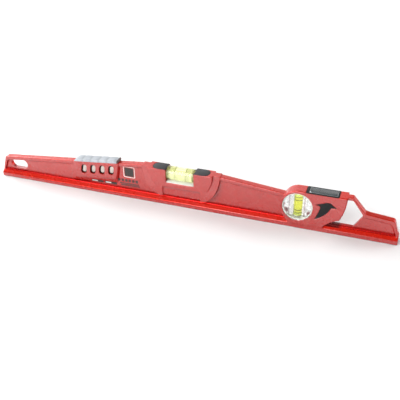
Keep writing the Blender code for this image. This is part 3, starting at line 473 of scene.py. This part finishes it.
def enamel_masks(tree, where):
    """Where each painted light and shade of the enamel, each loss of shine and its bare base lie, by the
    place on the casting and the way that it faces.
    """
    place = axes_of(tree, where)
    facing = axes_of(tree, add(tree, "ShaderNodeNewGeometry").outputs["Normal"])
    x, height, up = place["X"], place["Z"], facing["Z"]
    out = math_node(tree, "ABSOLUTE", place["Y"])
    foot = span(tree, height, COVE_LOW, COVE_LOW + FADE, smooth=True)
    cove = product(tree, foot, span(tree, out, COVE_REACH + FADE, COVE_REACH, smooth=True),
                   span(tree, height, COVE_FADE, COVE_HIGH, smooth=True))
    panel = product(tree, span(tree, math_node(tree, "ABSOLUTE", x), PANEL_REACH, PANEL_REACH - FADE),
                    span(tree, height, PANEL_SHADE_HIGH, PANEL_SHADE_LOW, smooth=True),
                    span(tree, height, SLOPE_HIGH, SLOPE_HIGH + FADE))
    # slope and top mark the painted light; cove (with the panel's foot), chin, side and under mark painted
    # shade
    return {
        "slope": product(tree, span(tree, up, *SLOPE_TURN), span(tree, height, *SLOPE_TOP)),
        "top": product(tree, span(tree, x, *TOP_RIGHT, TOP_LEFT_SHARE, 1.0), span(tree, up, *TOP_TURN),
                       span(tree, height, *TOP_LEVEL)),
        "cove": most(tree, cove, panel),
        "ridge": product(tree, span(tree, height, RIDGE_LOW, RIDGE_LOW + FADE),
                         span(tree, height, *RIDGE_FALL), span(tree, out, RIDGE_REACH, RIDGE_REACH - FADE),
                         span(tree, x, *RIDGE_RUN)),
        "edge": product(tree, span(tree, height, *EDGE_RISE), span(tree, height, *EDGE_FALL),
                        span(tree, out, *EDGE_OUT), span(tree, x, *EDGE_RUN, EDGE_RIGHT_SHARE, 1.0)),
        "chin": product(tree, foot, span(tree, x, CHIN_RIGHT, CHIN_RIGHT - CHIN_FADE, smooth=True),
                        span(tree, x, CHIN_LEFT - FADE, CHIN_LEFT), span(tree, out, *CHIN_OUT),
                        span(tree, height, CHIN_SHADE_HIGH, CHIN_SHADE_HIGH - CHIN_FADE / 2)),
        "side": span(tree, facing["X"], *SIDE_TURN, smooth=True),
        "end": span(tree, facing["X"], *END_TURN, smooth=True),
        "under": span(tree, up, *UNDER_TURN, smooth=True),
        "base": span(tree, height, BASE_FILM + BASE_FADE, BASE_FILM),
    }


def enamel():
    """Red enamel on cast metal, bare on the milled base, with painted light and shade: a lighter red on the
    rail's slopes and upward tops, darker reds in the coves, under the chin and on faces turned right or
    down.
    """
    made = look("red_enamel", {"Coat Weight": 1.0, "Coat Roughness": 0.10, "Coat IOR": 1.7, "IOR": 1.5})
    tree = made.node_tree
    where = place_in(tree)
    masks = enamel_masks(tree, where)
    patch = noise(tree, where, PATCH_SCALE)
    enamel_red = ramp(tree, patch, zip(MIDDLE, ENAMEL_RED))
    painted_light_red = ramp(tree, patch, zip(MIDDLE, PAINTED_LIGHT_RED))
    # Painted light: up-facing slopes and tops take the lighter red
    colour = blend_colour(tree, most(tree, masks["slope"], masks["top"]), enamel_red, painted_light_red)
    # Painted shade: the coves, the chin, right-facing and downward faces take darker reds
    for mask, share, red in SHADES:
        colour = blend_colour(tree, product(tree, masks[mask], share), colour, red)
    lines = noise(tree, place_in(tree, MILLING_STRETCH), MILLING_SCALE, MILLING_DETAIL)
    metal = ramp(tree, lines, zip(MIDDLE, MILLED_GREY))
    into(made, "Base Color", blend_colour(tree, masks["base"], colour, metal))
    into(made, "Metallic", most(tree, *(product(tree, masks[mask], share) for mask, share in TINTS)))
    dull = most(tree, *(product(tree, masks[mask], share) for mask, share in DULLED))
    into(made, "Coat Weight", span(tree, dull, 0.0, 1.0, 1.0, LEAST_COAT))
    roughen(made, POLISH, POLISH_SCALE)
    peel = bump(tree, noise(tree, where, PEEL_SCALE, 1), PEEL_DEPTH)
    into(made, "Normal", bump(tree, noise(tree, where, GRAIN_SCALE, 1), GRAIN_DEPTH, peel))
    return made


def soft_grey(name, tones, grooved):
    """Light grey soft plastic of the grip, faintly mottled, with painted shade in its grooves if it has
    them.
    """
    made = look(name, {"Specular IOR Level": 0.4, **SOFT})
    colour = mottle(made, tones, scale=140, detail=4)
    if grooved:
        tree = made.node_tree
        along = math_node(tree, "SUBTRACT", axes_of(tree, place_in(tree))["X"], GROOVE_RIGHT)
        away = math_node(tree, "PINGPONG", along, GROOVE_PITCH / 2)
        # Painted shade darkens the grooves
        groove_shade = span(tree, away, GROOVE_WIDTH * GROOVE_SHADE_REACH, 0.0, 0.0, GROOVE_SHADE_SHARE, smooth=True)
        into(made, "Base Color", blend_colour(tree, groove_shade, colour, SHADED_GROOVE_GREY))
    roughen(made, (0.42, 0.6), scale=500)
    grain(made, SOFT_GRAIN, scale=2600)
    return made


def dark_plastic(name, colour, rough, shine):
    """Dark moulded plastic with a fine grain."""
    made = look(name, {"Specular IOR Level": shine})
    mottle(made, (colour, [LIGHTER * part for part in colour]), scale=300, detail=3)
    roughen(made, [rough + more for more in ROUGH_SPREAD], scale=700)
    grain(made, SOFT_GRAIN, scale=3200)
    return made


def white_plastic():
    """White satin plastic."""
    made = look("white_plastic", {"Roughness": 0.35, **SOFT})
    mottle(made, PLASTIC_WHITE, scale=200, detail=3)
    grain(made, SATIN_GRAIN, scale=1800)
    return made


def clear(name, colour, index, through, polish, scale):
    """Clear plastic of this colour and refractive index, a little uneven in its polish."""
    made = look(name, {"Base Color": (*colour, 1), "IOR": index, "Transmission Weight": through})
    roughen(made, polish, scale, detail=3)
    return made


def glowing(name, rough, index, through, glow, strength):
    """What lets light through and gives a little light off whatever falls on it: a painted glow."""
    return look(name, {
        "Roughness": rough, "IOR": index, "Transmission Weight": through,
        "Emission Color": (*glow, 1), "Emission Strength": strength,
    })


def liquid():
    """Fluorescent yellow-green vial liquid, its fluorescence painted as a faint glow."""
    made = glowing("vial_liquid", rough=0.15, index=1.05, through=0.72, glow=LIQUID_GLOW, strength=0.09)
    mottle(made, LIQUID_YELLOW, scale=60)
    return made


def plumb_liquid():
    """The plumb vial's liquid: a full yellow in the middle, paler and greener towards both ends."""
    # Painted glow for the liquid's fluorescence
    made = glowing("plumb_liquid", rough=0.15, index=1.05, through=0.72, glow=PLUMB_GLOW, strength=0.15)
    tree = made.node_tree
    height = math_node(tree, "SUBTRACT", axes_of(tree, place_in(tree))["Z"], PLUMB_CENTRE[2])
    away = math_node(tree, "ABSOLUTE", height)
    share = span(tree, away, PLUMB_PALE_FROM, PLUMB_PALE_FROM + PLUMB_PALE_FADE)
    into(made, "Base Color", blend_colour(tree, share, PLUMB_YELLOW, PLUMB_PALE))
    return made


def gas():
    """The bubble: a pale place in the liquid, its shine painted as a glow."""
    # Painted glow for the bubble's shine
    made = glowing("vial_bubble", rough=0.05, index=1.15, through=0.5, glow=BUBBLE_GLOW, strength=0.3)
    mottle(made, BUBBLE_YELLOW, scale=60)
    return made


def tinted(name, tones, through):
    """Translucent plastic steeped in the liquid's colour, for plugs and rings."""
    made = look(name, {"Roughness": 0.3, "IOR": 1.45, "Transmission Weight": through})
    mottle(made, tones, scale=240)
    return made


def paint(name, tones):
    """Matt ink, a little worn: printed on the enamel, and also used for the painted highlight and glint on
    the window's pane.
    """
    made = look(name, {})
    mottle(made, tones, scale=500, detail=3)
    roughen(made, (0.38, 0.55), scale=900)
    return made


def soft_spot(tree, place, centre, radius):
    """A round soft patch on the plumb disc, by its place from the vial's middle."""
    across = math_node(tree, "SUBTRACT", place["X"], PLUMB_CENTRE[0] + centre[0])
    up = math_node(tree, "SUBTRACT", place["Z"], PLUMB_CENTRE[2] + centre[1])
    squares = math_node(tree, "ADD", product(tree, across, across), product(tree, up, up))
    return span(tree, math_node(tree, "SQRT", squares), radius, radius * SPOT_CORE, smooth=True)


def silver():
    """Silver foil on the folded reflectors, with painted dark reflections: lines at its folds and soft spots
    near its corners.
    """
    made = look("silver_foil", {"Metallic": 0.5})
    bright = mottle(made, FOIL_SILVER, scale=120, detail=3)
    tree = made.node_tree
    where = place_in(tree)
    place = axes_of(tree, where)
    dark_reflections = []
    for centre, width in FOIL_REFLECTION_LINES:
        across = math_node(tree, "SUBTRACT", place["X"], PLUMB_CENTRE[0] + centre)
        line = span(tree, math_node(tree, "ABSOLUTE", across), width, width * LINE_CORE, smooth=True)
        dark_reflections.append(product(tree, line, LINE_SHARE))
    # Noise that varies the strength of the painted dark reflections
    reflection_waver = span(tree, noise(tree, where, REFLECTION_WAVER_SCALE), *REFLECTION_WAVER_SPAN)
    for centre, radius in FOIL_REFLECTION_SPOTS:
        dark_reflections.append(product(tree, soft_spot(tree, place, centre, radius), reflection_waver))
    into(made, "Base Color", blend_colour(tree, most(tree, *dark_reflections), bright, FOIL_REFLECTION_DARK))
    roughen(made, (0.2, 0.32), scale=300)
    return made


def mirror():
    """Silvered mirror."""
    made = look("mirror", {"Metallic": 1.0, "Roughness": 0.04})
    mottle(made, MIRROR_SILVER, scale=160, detail=3)
    return made


LOOKS = {
    "grip": soft_grey("soft_grey", GRIP_GREY, grooved=True),
    "lug": soft_grey("lug_grey", LUG_GREY, grooved=False),
    "pads": dark_plastic("pad_rubber", PAD_BLACK, rough=0.5, shine=0.35),
    "dark_plastic": dark_plastic("dark_plastic", MOULDED_BLACK, rough=0.45, shine=0.2),
    "core": dark_plastic("core_plastic", CORE_BROWN, rough=0.5, shine=0.3),
    "white_plastic": white_plastic(),
    "clear": clear("clear_plastic", CLEAR_WHITE, index=1.2, through=1.0, polish=(0.01, 0.03), scale=160),
    "rod": clear("vial_acrylic", CLEAR_YELLOW, index=1.49, through=1.0, polish=(0.04, 0.08), scale=160),
    "window": clear("window_pane", SMOKED_GREY, index=1.45, through=0.85, polish=(0.03, 0.09), scale=220),
    "liquid": liquid(),
    "plumb_liquid": plumb_liquid(),
    "bubble": gas(),
    "plug": tinted("tinted_plug", PLUG_OLIVE, through=0.5),
    "ring": tinted("dark_ring", RING_BROWN, through=0.1),
    "silver": silver(),
    "mirror": mirror(),
    "ink": paint("dark_ink", INK_BLACK),
    "paint": paint("white_ink", INK_WHITE),
    # Painted highlight and painted glint on the window's pane, in the ink look
    "pane_edge": paint("pane_edge", HIGHLIGHT_GREY),
    "pane_patch": paint("pane_patch", GLINT_GREY),
}


# Meshes

def linked(name, data):
    """A new object with this mesh, lamp or camera, in the scene."""
    made = bpy.data.objects.new(name, data)
    bpy.context.scene.collection.objects.link(made)
    return made


def reworked(mesh, change):
    """Makes a change to a mesh through bmesh."""
    work = bmesh.new()
    work.from_mesh(mesh)
    change(work)
    work.to_mesh(mesh)
    work.free()


def shaded(mesh, angle):
    """Shades a mesh smooth, apart from edges sharper than this angle."""
    mesh.shade_smooth()
    mesh.set_sharp_from_angle(angle=math.radians(angle))


def solid(name, points, faces, angle=SHARP_ANGLE):
    """A new piece of these points and faces, facing out and shaded smooth up to an angle."""
    mesh = bpy.data.meshes.new(name)
    mesh.from_pydata([tuple(point) for point in points], [], faces)
    reworked(mesh, lambda work: bmesh.ops.recalc_face_normals(work, faces=work.faces))
    shaded(mesh, angle)
    return linked(name, mesh)


def copy_of(name, node):
    """A new piece that starts from a CAD node's mesh, with its split points joined."""
    made = linked(name, nodes[node].data.copy())
    made.data.materials.clear()
    reworked(made.data, lambda work: bmesh.ops.remove_doubles(work, verts=work.verts, dist=WELD_DISTANCE))
    return made


def applied(piece):
    """The piece with its modifiers made part of its mesh."""
    graph = bpy.context.evaluated_depsgraph_get()
    mesh = bpy.data.meshes.new_from_object(piece.evaluated_get(graph))
    piece.modifiers.clear()
    piece.data = mesh
    return piece


def eased(name, node, width, segments=EASE_STEPS):
    """A CAD node's shape with its flat faces joined and its hard edges rounded."""
    made = copy_of(name, node)
    reworked(made.data, lambda work: bmesh.ops.dissolve_limit(
        work, angle_limit=math.radians(FLAT_ANGLE), verts=work.verts, edges=work.edges))
    bevel = made.modifiers.new("Ease", "BEVEL")
    bevel.width = width
    bevel.segments = segments
    bevel.limit_method = "ANGLE"
    bevel.angle_limit = math.radians(BEVEL_ANGLE)
    applied(made)
    shaded(made.data, EASED_SHARP_ANGLE)
    return made


def cut(piece, cutter):
    """The piece with the cutter's shape taken out of it."""
    modifier = piece.modifiers.new("Cut", "BOOLEAN")
    modifier.operation = "DIFFERENCE"
    modifier.solver = "EXACT"
    modifier.object = cutter
    applied(piece)
    bpy.data.objects.remove(cutter)
    shaded(piece.data, SHARP_ANGLE)
    return piece


def turned(name, profile, centre, axis, steps=ROD_STEPS):
    """A solid turned about an axis through the centre, from (along, radius) points that end on the axis."""
    points = []
    rows = []
    for reach, radius in profile:
        count = steps if radius > 0 else 1
        rows.append(range(len(points), len(points) + count))
        for step in range(count):
            angle = math.tau * step / steps
            across, up = radius * math.cos(angle), radius * math.sin(angle)
            offset = {"X": (reach, across, up), "Z": (across, up, reach)}[axis]
            points.append([start + part for start, part in zip(centre, offset)])
    faces = []
    for row, following in zip(rows, rows[1:]):
        for step in range(steps):
            after = (step + 1) % steps
            face = [row[step % len(row)], row[after % len(row)], following[after % len(following)],
                    following[step % len(following)]]
            faces.append(list(dict.fromkeys(face)))
    return solid(name, points, faces)


def rounded_rod(half, radius):
    """The outline of a round rod with rounded rims."""
    arc = [math.pi / 2 * step / ROD_EDGE_STEPS for step in range(ROD_EDGE_STEPS + 1)]
    flat, inner = half - ROD_EDGE, radius - ROD_EDGE
    right = [(flat + ROD_EDGE * math.sin(angle), inner + ROD_EDGE * math.cos(angle)) for angle in arc]
    return [(-half, 0)] + [(-reach, across) for reach, across in reversed(right)] + right + [(half, 0)]


def flat_rod(half, radius):
    """The outline of a round rod with flat ends."""
    return [(-half, 0), (-half, radius), (half, radius), (half, 0)]


def box_outline(centre, size, radius=0.0):
    """A rectangle round a centre, with its corners rounded where a radius is given."""
    half_u, half_v = size[0] / 2 - radius, size[1] / 2 - radius
    outline = []
    for turn, (side_u, side_v) in enumerate(((1, 1), (-1, 1), (-1, -1), (1, -1))):
        middle = (centre[0] + side_u * half_u, centre[1] + side_v * half_v)
        steps = ROUNDING_STEPS if radius else 0
        for step in range(steps + 1):
            angle = math.pi / 2 * (turn + step / max(steps, 1))
            outline.append((middle[0] + radius * math.cos(angle), middle[1] + radius * math.sin(angle)))
    return outline


def plate(name, outline, low, high, place):
    """A thin plate of this outline between two depths."""
    count = len(outline)
    points = [place(u, v, depth) for depth in (low, high) for u, v in outline]
    faces = [tuple(range(count)), tuple(range(count, 2 * count))]
    for index in range(count):
        after = (index + 1) % count
        faces.append((index, after, count + after, count + index))
    return solid(name, points, faces)


def frame_plate(name, outer, inner, low, high, place):
    """A thin frame between two outlines of as many points."""
    count = len(outer)
    points = [place(u, v, depth) for depth in (low, high) for u, v in outer + inner]
    faces = []
    for index in range(count):
        after = (index + 1) % count
        rings = (index, after, count + after, count + index)
        faces.append(rings)
        faces.append(tuple(2 * count + point for point in rings))
        faces.append((index, after, 2 * count + after, 2 * count + index))
        faces.append((count + index, count + after, 3 * count + after, 3 * count + index))
    return solid(name, points, faces)


def narrower(size, line):
    """The size inside a frame of this line width."""
    return (size[0] - 2 * line, size[1] - 2 * line)


# Pieces

def dress(piece, material, replaced=()):
    """Gives a piece its material, sets it under the level's body, and hides the nodes that it stands for."""
    piece.data.materials.clear()
    piece.data.materials.append(material)
    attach(piece, "level")
    if replaced:
        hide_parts(*replaced)


def dress_nodes():
    """Gives every carried-over CAD node its look, which for most is that of its record slot."""
    for subpart in frame["record"]["subparts"]:
        look_name = NODE_LOOKS.get(subpart["node"], subpart["material_slot"])
        if look_name in LOOKS:
            nodes[subpart["node"]].material_slots[0].material = LOOKS[look_name]


def cast_body():
    """The casting with the soft edges of a casting."""
    piece = copy_of("casting", "body_casting")
    remesh = piece.modifiers.new("Cast", "REMESH")
    remesh.mode = "VOXEL"
    remesh.voxel_size = CAST_VOXEL
    remesh.use_smooth_shade = True
    soften = piece.modifiers.new("Soften", "SMOOTH")
    soften.factor = CAST_SOFTENING
    soften.iterations = CAST_SMOOTHING
    applied(piece)
    dress(piece, enamel(), ["body_casting"])
    return piece


def flange_height(x):
    """The height of the sloping top flange at x."""
    slope_end = HALF_LENGTH - END_LEAN
    share = (slope_end - abs(x)) / (slope_end - CREST_HALF)
    return END_HEIGHT + min(share, 1) * (CREST_HEIGHT - END_HEIGHT)


def saddle_section(x):
    """The saddle across at x: crowned, round-edged, with a shallow groove across it every pitch."""
    rise = min(1, (x - SADDLE_LEFT) / SADDLE_TAPER)
    top = SADDLE_LEFT_THICKNESS + (SADDLE_THICKNESS - SADDLE_LEFT_THICKNESS) * math.sin(rise * math.pi / 2)
    away = (x - GROOVE_RIGHT + GROOVE_PITCH / 2) % GROOVE_PITCH - GROOVE_PITCH / 2
    top -= GROOVE_DEPTH * math.exp(-(away / GROOVE_WIDTH) ** 2) * rise
    corner = min(SADDLE_CORNER, top * SADDLE_CORNER_SHARE)
    flat = SADDLE_HALF - corner
    right = [(SADDLE_HALF, GAP), (SADDLE_HALF, (top - corner) / 2)]
    for step in range(SADDLE_CORNER_STEPS + 1):
        angle = math.pi / 2 * step / SADDLE_CORNER_STEPS
        right.append((flat + corner * math.cos(angle), top - SADDLE_CROWN - corner * (1 - math.sin(angle))))
    for share in SADDLE_CROWN_PLACES:
        right.append((flat * share, top - SADDLE_CROWN * share * share))
    outer = right + [(0, top)] + [(-y, z) for y, z in reversed(right)]
    depth = min(CHANNEL_DEPTH if x > CHANNEL_LEFT else 2 * GAP, top / 2)
    channel = [(-CHANNEL_HALF, GAP), (-CHANNEL_HALF, depth), (CHANNEL_HALF, depth), (CHANNEL_HALF, GAP)]
    height = flange_height(x)
    return [Vector((x, y, height + z)) for y, z in outer + channel]


def saddle():
    """The soft saddle of the grip."""
    run = SADDLE_RIGHT - SADDLE_LEFT
    places = [SADDLE_LEFT + run * step / SADDLE_STATIONS for step in range(SADDLE_STATIONS + 1)]
    sections = [saddle_section(x) for x in places]
    count = len(sections[0])
    faces = [tuple(range(count)), tuple(range(SADDLE_STATIONS * count, (SADDLE_STATIONS + 1) * count))]
    for station in range(SADDLE_STATIONS):
        start = station * count
        for index in range(count):
            after = (index + 1) % count
            faces.append((start + index, start + after, start + count + after, start + count + index))
    points = [point for section in sections for point in section]
    dress(solid("saddle", points, faces, SADDLE_SHARP_ANGLE), LOOKS["grip"], ["grip_saddle"])


def lugs():
    """The light lugs of the finger slots, each on a dark piece that is painted shade in its slot."""
    for index in range(1, LUG_COUNT + 1):
        node = f"grip_lug_{index}"
        low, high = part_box(node)
        centre = (Vector(low) + Vector(high)) / 2
        # A dark piece as painted shade round the lug in its slot
        shade_liner = eased(f"lug_shade_liner_{index}", node, SHADE_LINER_EDGE)
        for vertex in shade_liner.data.vertices:
            vertex.co.y *= LUG_DEPTH_SHARE
        dress(shade_liner, LOOKS["dark_plastic"])
        lug = eased(f"lug_{index}", node, LUG_EDGE, LUG_EDGE_STEPS)
        for vertex in lug.data.vertices:
            away = vertex.co - centre
            shrunk = Vector((away.x * LUG_SIZE_SHARE, away.y, away.z * LUG_SIZE_SHARE))
            vertex.co = centre + shrunk + Vector(LUG_SHIFT)
        dress(lug, LOOKS["lug"], [node])


def vial(kind, centre, axis, half, radius, bore, plug_depth):
    """A vial's clear rod, and the liquid in its bore, still without a channel for its bubble."""
    rod = turned(f"{kind}_rod", rounded_rod(half, radius), centre, axis)
    dress(rod, LOOKS["rod"], [f"{kind}_vial_barrel"])
    return turned(f"{kind}_liquid", flat_rod(half - plug_depth - GAP, bore), centre, axis)


def level_vial():
    """The level vial: its rod shows the liquid enlarged, with the bubble's flat channel near the top."""
    body = vial("level", LEVEL_CENTRE, "X", LEVEL_HALF, LEVEL_RADIUS, LEVEL_BORE, LEVEL_PLUG_DEPTH)
    channel = turned("channel", flat_rod(LEVEL_HALF, 1), (0, 0, 0), "X", CHANNEL_STEPS)
    for vertex in channel.data.vertices:
        x, y, z = vertex.co
        vertex.co = (x, y * CHANNEL_ACROSS, BUBBLE_CENTRE + z * CHANNEL_UP)
    dress(cut(body, channel), LOOKS["liquid"], ["level_vial_liquid"])


def plumb_vial():
    """The plumb vial, likewise, with its bubble's channel up the middle."""
    body = vial("plumb", PLUMB_CENTRE, "Z", PLUMB_HALF, PLUMB_RADIUS, PLUMB_BORE, PLUMB_PLUG_DEPTH)
    channel = turned("channel", flat_rod(PLUMB_HALF, PLUMB_CHANNEL), PLUMB_CENTRE, "Z", CHANNEL_STEPS)
    dress(cut(body, channel), LOOKS["plumb_liquid"], ["plumb_vial_liquid"])


def plumb_rings():
    """The plumb vial's reading rings, a little wider, as the rod round them shows them."""
    for index in range(1, RING_COUNT + 1):
        node = f"plumb_vial_ring_{index}"
        ring = copy_of(f"plumb_ring_{index}", node)
        low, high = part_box(node)
        middle = (low[2] + high[2]) / 2
        for vertex in ring.data.vertices:
            vertex.co.z = middle + (vertex.co.z - middle) * RING_STRETCH
        dress(ring, LOOKS["ring"], [node])


def small_parts():
    """Rounded copies of the hard-edged plates and inlays."""
    for node, width, slot, look_name in EASED_NODES:
        dress(eased(f"{node}_piece", node, width), LOOKS[look_name], [node])


def on_web(u, v, depth):
    """A point of a print, this far out from the casting's front at this place."""
    place = CASTING.ray_cast(Vector((u, PRINT_FROM, v)), Vector((0, 1, 0)))[1]
    return (u, place.y - depth, v)


def on_pane(u, v, depth):
    """A point on the window's pane, this far above it."""
    return (u, v, PANE_TOP + depth)


def inked(piece, ink):
    """Gives a print its ink."""
    dress(piece, LOOKS[ink])


def printed(name, outline):
    """One dark patch printed on the web."""
    inked(plate(name, outline, -PRINT_SUNK, PRINT_LAYER, on_web), "ink")


def strip(name, centre, size, ink, layers=1):
    """A printed strip that follows the casting's swell: a row of columns across it."""
    left, right = centre[0] - size[0] / 2, centre[0] + size[0] / 2
    low, high = centre[1] - size[1] / 2, centre[1] + size[1] / 2
    us = [left + (right - left) * step / STRIP_STEPS[0] for step in range(STRIP_STEPS[0] + 1)]
    vs = [low + (high - low) * step / STRIP_STEPS[1] for step in range(STRIP_STEPS[1] + 1)]
    depths = (-PRINT_SUNK, layers * PRINT_LAYER)
    points = [on_web(u, v, depth) for depth in depths for v in vs for u in us]
    across, rows = len(us), len(vs)
    level = across * rows
    faces = []
    for row in range(rows - 1):
        for column in range(across - 1):
            start = row * across + column
            quad = (start, start + 1, start + across + 1, start + across)
            faces += [quad, tuple(level + point for point in quad)]
    rim = list(range(across)) + [row * across + across - 1 for row in range(1, rows)]
    rim += [(rows - 1) * across + column for column in range(across - 2, -1, -1)]
    rim += [row * across for row in range(rows - 2, 0, -1)]
    for index, point in enumerate(rim):
        after = rim[(index + 1) % len(rim)]
        faces.append((point, after, level + after, level + point))
    inked(solid(name, points, faces, STRIP_SHARP_ANGLE), ink)


def prints():
    """Plain printed marks: a framed dark badge, two strips, a row of squares and two rows of ticks."""
    outer = box_outline(BADGE_CENTRE, BADGE_SIZE, BADGE_CORNER)
    inner = box_outline(BADGE_CENTRE, narrower(BADGE_SIZE, BADGE_LINE), BADGE_CORNER - BADGE_LINE)
    inked(frame_plate("badge_frame", outer, inner, -PRINT_SUNK, PRINT_LAYER, on_web), "paint")
    printed("badge_field", box_outline(BADGE_CENTRE, BADGE_FIELD, BADGE_LINE))
    for number, (x, z) in enumerate(STRIP_CENTRES, 1):
        strip(f"strip_{number}", (x, z), STRIP_SIZE, "ink")
        strip(f"strip_bar_{number}", (x + STRIP_BAR_SHIFT, z), STRIP_BAR_SIZE, "paint", STRIP_BAR_LAYERS)
    x, z = SQUARE_FIRST
    for square in range(SQUARE_COUNT):
        printed(f"square_{square + 1}", box_outline((x + square * SQUARE_PITCH, z), SQUARE_SIZE))
    for row, (x, z) in enumerate(TICK_ROWS, 1):
        for tick in range(TICK_COUNT):
            printed(f"tick_{row}_{tick + 1}", box_outline((x + tick * TICK_PITCH, z), TICK_SIZE))


def window_rim():
    """A painted highlight along the edge of the window's pane, and a painted glint at its front corner."""
    middle = ((PANE_LEFT + PANE_RIGHT) / 2, 0)
    size = (PANE_RIGHT - PANE_LEFT, 2 * PANE_HALF)
    inner = box_outline(middle, narrower(size, RIM_WIDTH))
    rim = frame_plate("pane_edge", box_outline(middle, size), inner, 0, RIM_HEIGHT, on_pane)
    dress(rim, LOOKS["pane_edge"])
    corner = (PANE_LEFT + RIM_WIDTH, -PANE_HALF + RIM_WIDTH)
    patch = [corner, (corner[0] + CORNER_GLINT[0], corner[1]), (corner[0], corner[1] + CORNER_GLINT[1])]
    dress(plate("pane_patch", patch, 0, RIM_HEIGHT, on_pane), LOOKS["pane_patch"])


# Studio set

def pale_floor():
    """A pale floor that glows a little far from the object, so that it stays pale in low views."""
    mesh = bpy.data.meshes.new("floor")
    corners = [(x * FLOOR_REACH, y * FLOOR_REACH, 0) for x, y in ((-1, -1), (1, -1), (1, 1), (-1, 1))]
    mesh.from_pydata(corners, [], [(0, 1, 2, 3)])
    floor = linked("floor", mesh)
    floor.location.z = -FLOOR_DROP
    white = look("floor_white", {
        "Base Color": FLOOR_WHITE, "Roughness": FLOOR_ROUGHNESS, "Emission Color": (1, 1, 1, 1),
    })
    tree = white.node_tree
    away = add(tree, "ShaderNodeVectorMath", {0: place_in(tree)}, operation="LENGTH").outputs["Value"]
    into(white, "Emission Strength", span(tree, away, *FLOOR_GLOW_SPAN, 0.0, FLOOR_GLOW, smooth=True))
    mesh.materials.append(white)


def soft_world():
    """A world that is brighter behind the object and low down than in front of it, and dark overhead."""
    world = bpy.data.worlds.new("studio")
    bpy.context.scene.world = world
    world.use_nodes = True
    tree = world.node_tree
    facing = axes_of(tree, add(tree, "ShaderNodeTexCoord").outputs["Generated"])
    tone = ramp(tree, facing["Z"], [(place, (grey, grey, grey)) for place, grey in WORLD_TONES])
    back = span(tree, facing["Y"], *WORLD_DEPTH, WORLD_FRONT, WORLD_BACK, smooth=True)
    side = span(tree, facing["X"], *WORLD_ACROSS, 1.0, WORLD_RIGHT_SHARE, smooth=True)
    low = span(tree, facing["Z"], *LOW_RISE, 0.0, WORLD_LOW, smooth=True)
    behind = span(tree, facing["Y"], *LOW_DEPTH)
    horizon = span(tree, facing["Z"], *HORIZON_RISE, 0.0, WORLD_HORIZON, smooth=True)
    strength = most(tree, product(tree, back, side), product(tree, low, behind), horizon)
    background = tree.nodes["Background"]
    feed(tree, background.inputs["Color"], tone)
    feed(tree, background.inputs["Strength"], strength)


def lamp(name, direction, size, power):
    """A soft round lamp in this direction from the object, turned to it."""
    data = bpy.data.lights.new(name, "AREA")
    data.shape = "DISK"
    data.size = size
    data.energy = power
    made = linked(name, data)
    made.location = Vector(direction).normalized() * LAMP_DISTANCE
    made.rotation_euler = (-made.location).to_track_quat("-Z", "Y").to_euler()


def camera():
    """The camera at the photograph's place."""
    data = bpy.data.cameras.new("camera")
    data.lens = CAMERA_LENS
    data.sensor_width = CAMERA_SENSOR
    data.sensor_height = CAMERA_SENSOR
    data.clip_start = CAMERA_CLIP
    made = linked("camera", data)
    columns = Matrix((CAMERA_RIGHT, CAMERA_UP, [-part for part in CAMERA_FORWARD])).transposed().to_4x4()
    made.matrix_world = Matrix.Translation(CAMERA_PLACE) @ columns
    bpy.context.scene.camera = made


dress_nodes()
CASTING = cast_body()
saddle()
lugs()
level_vial()
plumb_vial()
plumb_rings()
small_parts()
prints()
window_rim()
pale_floor()
soft_world()
for settings in LAMPS:
    lamp(*settings)
camera()
bpy.context.scene.view_settings.view_transform = "Standard"
